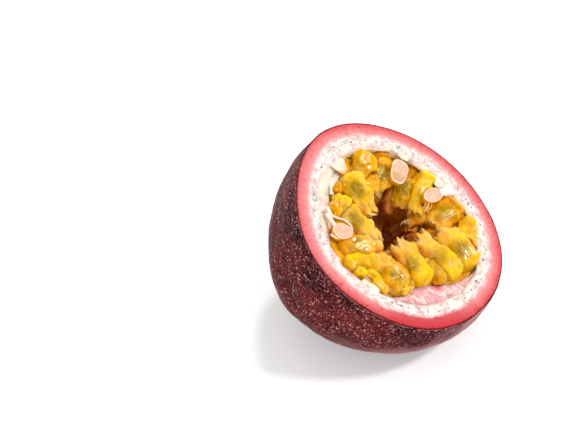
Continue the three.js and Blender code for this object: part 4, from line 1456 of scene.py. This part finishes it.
class FruitColours(bpy.types.PropertyGroup):
    """Colours of the fruit"""

    skin: colour_setting("Skin", "Main colour of the purple skin", "#5a1014")
    skin_deep: colour_setting("Deep skin", "Darkest patches of the skin and its cut edge", "#2c0709")
    # painted shade: a darker skin mixed in near the floor
    low_skin_shade: colour_setting("Low skin", "Redder skin near the resting spot", "#50131a")
    speck: colour_setting("Specks", "Brightest pale specks on the skin", "#dcaaa6")
    speck_dim: colour_setting("Dim specks", "Duller pattern between the specks", "#a05c5c")
    lip: colour_setting("Lip", "Pale line along the cut edge of the skin", "#c87e78")
    # painted sheen: mixed in where the skin is seen at a slant, stronger on the lit side
    painted_sheen: colour_setting("Painted_sheen", "Mauve bloom of the skin seen at a slant", "#ac7a7c")
    deep_flesh: colour_setting("Deep flesh", "Deepest red, on the lower side of the rim", "#c0333a")
    rim_flesh: colour_setting("Rim flesh", "Red flesh right under the skin", "#c6454a")
    red_fleck: colour_setting("Red flecks", "Darker flecks in the red flesh", "#a02c34")
    red_flesh: colour_setting("Red flesh", "Red outer flesh", "#da6c6e")
    salmon_flesh: colour_setting("Salmon flesh", "Outer flesh where it meets the lining", "#e29a9a")
    lining: colour_setting("Lining", "White lining", "#eee6dd")
    lining_shade: colour_setting("Lining shade", "Slightly darker patches of the lining", "#d6b6b0")
    lining_cream: colour_setting("Lining cream", "Cream lines on the cavity wall", "#f8e4c8")
    lining_pink: colour_setting("Lining pink", "Pink blush on the cavity wall", "#e2a4a8")
    lining_blush: colour_setting("Lining blush", "Strong pink at the foot of the wall", "#e8506e")
    vein: colour_setting("Veins", "Magenta veins in the lining", "#b85c70")
    speck_dark: colour_setting("Dark specks", "Dark vessel ends in the lining", "#54384c")
    juice_light: colour_setting("Light juice", "Brightest yellow of the juice sacs", "#fccc04")
    juice: colour_setting("Juice", "Golden yellow of the juice sacs", "#f0b008")
    juice_orange: colour_setting("Orange juice", "Orange parts of the juice sacs", "#f49c08")
    juice_amber: colour_setting("Amber juice", "Amber brown in the gaps", "#b86a08")
    olive_juice: colour_setting("Olive juice", "Greener gold of some sacs", "#cc9c00")
    # painted crease shade: a deeper orange where the sacs touch
    crease: colour_setting("Crease", "Glowing orange where sacs touch", "#ff9c04")
    # painted shade deep in the hollow, on the sacs, the bed and the amber strands
    hollow_shade_juice: colour_setting("Deep juice", "Amber deep in the hollow", "#b4601a")
    seed_glow: colour_setting("Seed glow", "Olive of a seed shining through a sac", "#8c6c00")
    frayed: colour_setting("Frayed ends", "Pale frayed ends of the sacs", "#f4bc68")
    threads: colour_setting("Threads", "Fine pale threads in the sacs", "#f8d048")
    # painted highlight: pale striped patches on some sacs
    film: colour_setting("Film", "Pale wet film on some sacs", "#f6dc98")
    seed_rim: colour_setting("Seed rim", "Pale rim of a cut seed", "#f0dcba")
    kernel: colour_setting("Kernel", "Pink kernel of a cut seed", "#dca98a")
    kernel_light: colour_setting("Light kernel", "Lighter patches of the kernel", "#e6c0a4")
    kernel_low: colour_setting("Low kernel", "Duller inner end of a long seed", "#c89468")


class StageSettings(bpy.types.PropertyGroup):
    """Floor, lights and camera"""

    floor: colour_setting("Floor", "Colour of the pale floor", "#fafafa")
    floor_shade: colour_setting("Floor shade", "Faint mottle of the floor", "#f8f8f8")
    surround: bpy.props.FloatProperty(
        name="Surround", description="Strength of the white surround", min=0, default=0.66,
    )
    light: bpy.props.FloatProperty(
        name="Light", description="Brightness of all lamps", min=0, default=0.34,
    )
    floor_glow: bpy.props.FloatProperty(
        name="Floor glow", description="Light that the floor gives, as a lit table does", min=0,
        default=0.3,
    )
    azimuth: bpy.props.FloatProperty(
        name="Azimuth", description="Heading of the camera round the fruit", unit="ROTATION",
        default=math.radians(-73.156),
    )
    elevation: bpy.props.FloatProperty(
        name="Elevation", description="Height of the camera over the floor as an angle", unit="ROTATION",
        default=math.radians(43.338),
    )
    distance: bpy.props.FloatProperty(
        name="Distance", description="From the camera to the cut face", unit="LENGTH", default=0.55,
    )


# ---- operators ----------------------------------------------------------------------------------

def fruit_form(context):
    """The fruit's form at its present sizes. It also makes the shared looks if they are missing."""
    scene = context.scene
    if "Cut face" not in bpy.data.node_groups:
        cut_face_group(scene.fruit_colours)
    if "Juice flesh" not in bpy.data.node_groups:
        juice_group(scene.fruit_colours)
    return Form(scene.fruit_sizes)


class FRUIT_OT_shell(bpy.types.Operator):
    """Add the purple skin and the red flesh under it"""
    bl_idname = "fruit.shell"
    bl_label = "Skin and red flesh"
    bl_options = {"REGISTER", "UNDO"}

    def execute(self, context):
        build_shell(fruit_form(context), context.scene.fruit_colours)
        return {"FINISHED"}


class FRUIT_OT_lining(bpy.types.Operator):
    """Add the white lining"""
    bl_idname = "fruit.lining"
    bl_label = "White lining"
    bl_options = {"REGISTER", "UNDO"}

    def execute(self, context):
        build_lining(fruit_form(context), context.scene.fruit_colours)
        return {"FINISHED"}


class FRUIT_OT_bed(bpy.types.Operator):
    """Add the wet bed of the pulp with its hollow"""
    bl_idname = "fruit.bed"
    bl_label = "Pulp bed"
    bl_options = {"REGISTER", "UNDO"}

    def execute(self, context):
        build_bed(fruit_form(context))
        return {"FINISHED"}


class FRUIT_OT_sacs(bpy.types.Operator):
    """Add the juice sacs round the mouth and down the hollow"""
    bl_idname = "fruit.sacs"
    bl_label = "Juice sacs"
    bl_options = {"REGISTER", "UNDO"}

    def execute(self, context):
        form = fruit_form(context)
        build_mouth_sacs(form)
        build_deep_sacs(form)
        return {"FINISHED"}


class FRUIT_OT_seeds(bpy.types.Operator):
    """Add the seeds split by the knife"""
    bl_idname = "fruit.seeds"
    bl_label = "Cut seeds"
    bl_options = {"REGISTER", "UNDO"}

    def execute(self, context):
        build_cut_seeds(fruit_form(context), context.scene.fruit_colours)
        return {"FINISHED"}


class FRUIT_OT_strands(bpy.types.Operator):
    """Add the seeds' cords, the lining's flaps and the loose membranes"""
    bl_idname = "fruit.strands"
    bl_label = "Cords and membranes"
    bl_options = {"REGISTER", "UNDO"}

    def execute(self, context):
        build_strands(fruit_form(context), context.scene.fruit_colours)
        return {"FINISHED"}


class FRUIT_OT_stage(bpy.types.Operator):
    """Add the pale floor, the soft lights and the camera"""
    bl_idname = "fruit.stage"
    bl_label = "Stage"
    bl_options = {"REGISTER", "UNDO"}

    def execute(self, context):
        build_stage(fruit_form(context), context.scene.fruit_stage)
        return {"FINISHED"}


class FRUIT_PT_panel(bpy.types.Panel):
    """Lists the fruit's pieces and settings"""
    bl_idname = "FRUIT_PT_panel"
    bl_label = "Passion fruit half"
    bl_space_type = "VIEW_3D"
    bl_region_type = "UI"
    bl_category = "Fruit"

    def draw(self, context):
        layout = self.layout
        for label, kind in SETTINGS.items():
            for name in kind.__annotations__:
                layout.prop(getattr(context.scene, label), name)
        for operator in OPERATORS:
            layout.operator(operator.bl_idname)


OPERATORS = (
    FRUIT_OT_shell, FRUIT_OT_lining, FRUIT_OT_bed, FRUIT_OT_sacs, FRUIT_OT_seeds, FRUIT_OT_strands,
    FRUIT_OT_stage,
)
SETTINGS = {"fruit_sizes": FruitSizes, "fruit_colours": FruitColours, "fruit_stage": StageSettings}
CLASSES = (*SETTINGS.values(), *OPERATORS, FRUIT_PT_panel)


def register():
    """Adds the settings, operators and panel to Blender."""
    for kind in CLASSES:
        bpy.utils.register_class(kind)
    for name, kind in SETTINGS.items():
        setattr(bpy.types.Scene, name, bpy.props.PointerProperty(type=kind))


def unregister():
    """Takes them away again."""
    for name in SETTINGS:
        delattr(bpy.types.Scene, name)
    for kind in reversed(CLASSES):
        bpy.utils.unregister_class(kind)


def main():
    """Builds the fruit and its stage."""
    register()
    bpy.ops.fruit.shell()
    bpy.ops.fruit.lining()
    bpy.ops.fruit.bed()
    bpy.ops.fruit.sacs()
    bpy.ops.fruit.seeds()
    bpy.ops.fruit.strands()
    bpy.ops.fruit.stage()


if __name__ == "__main__":
    main()
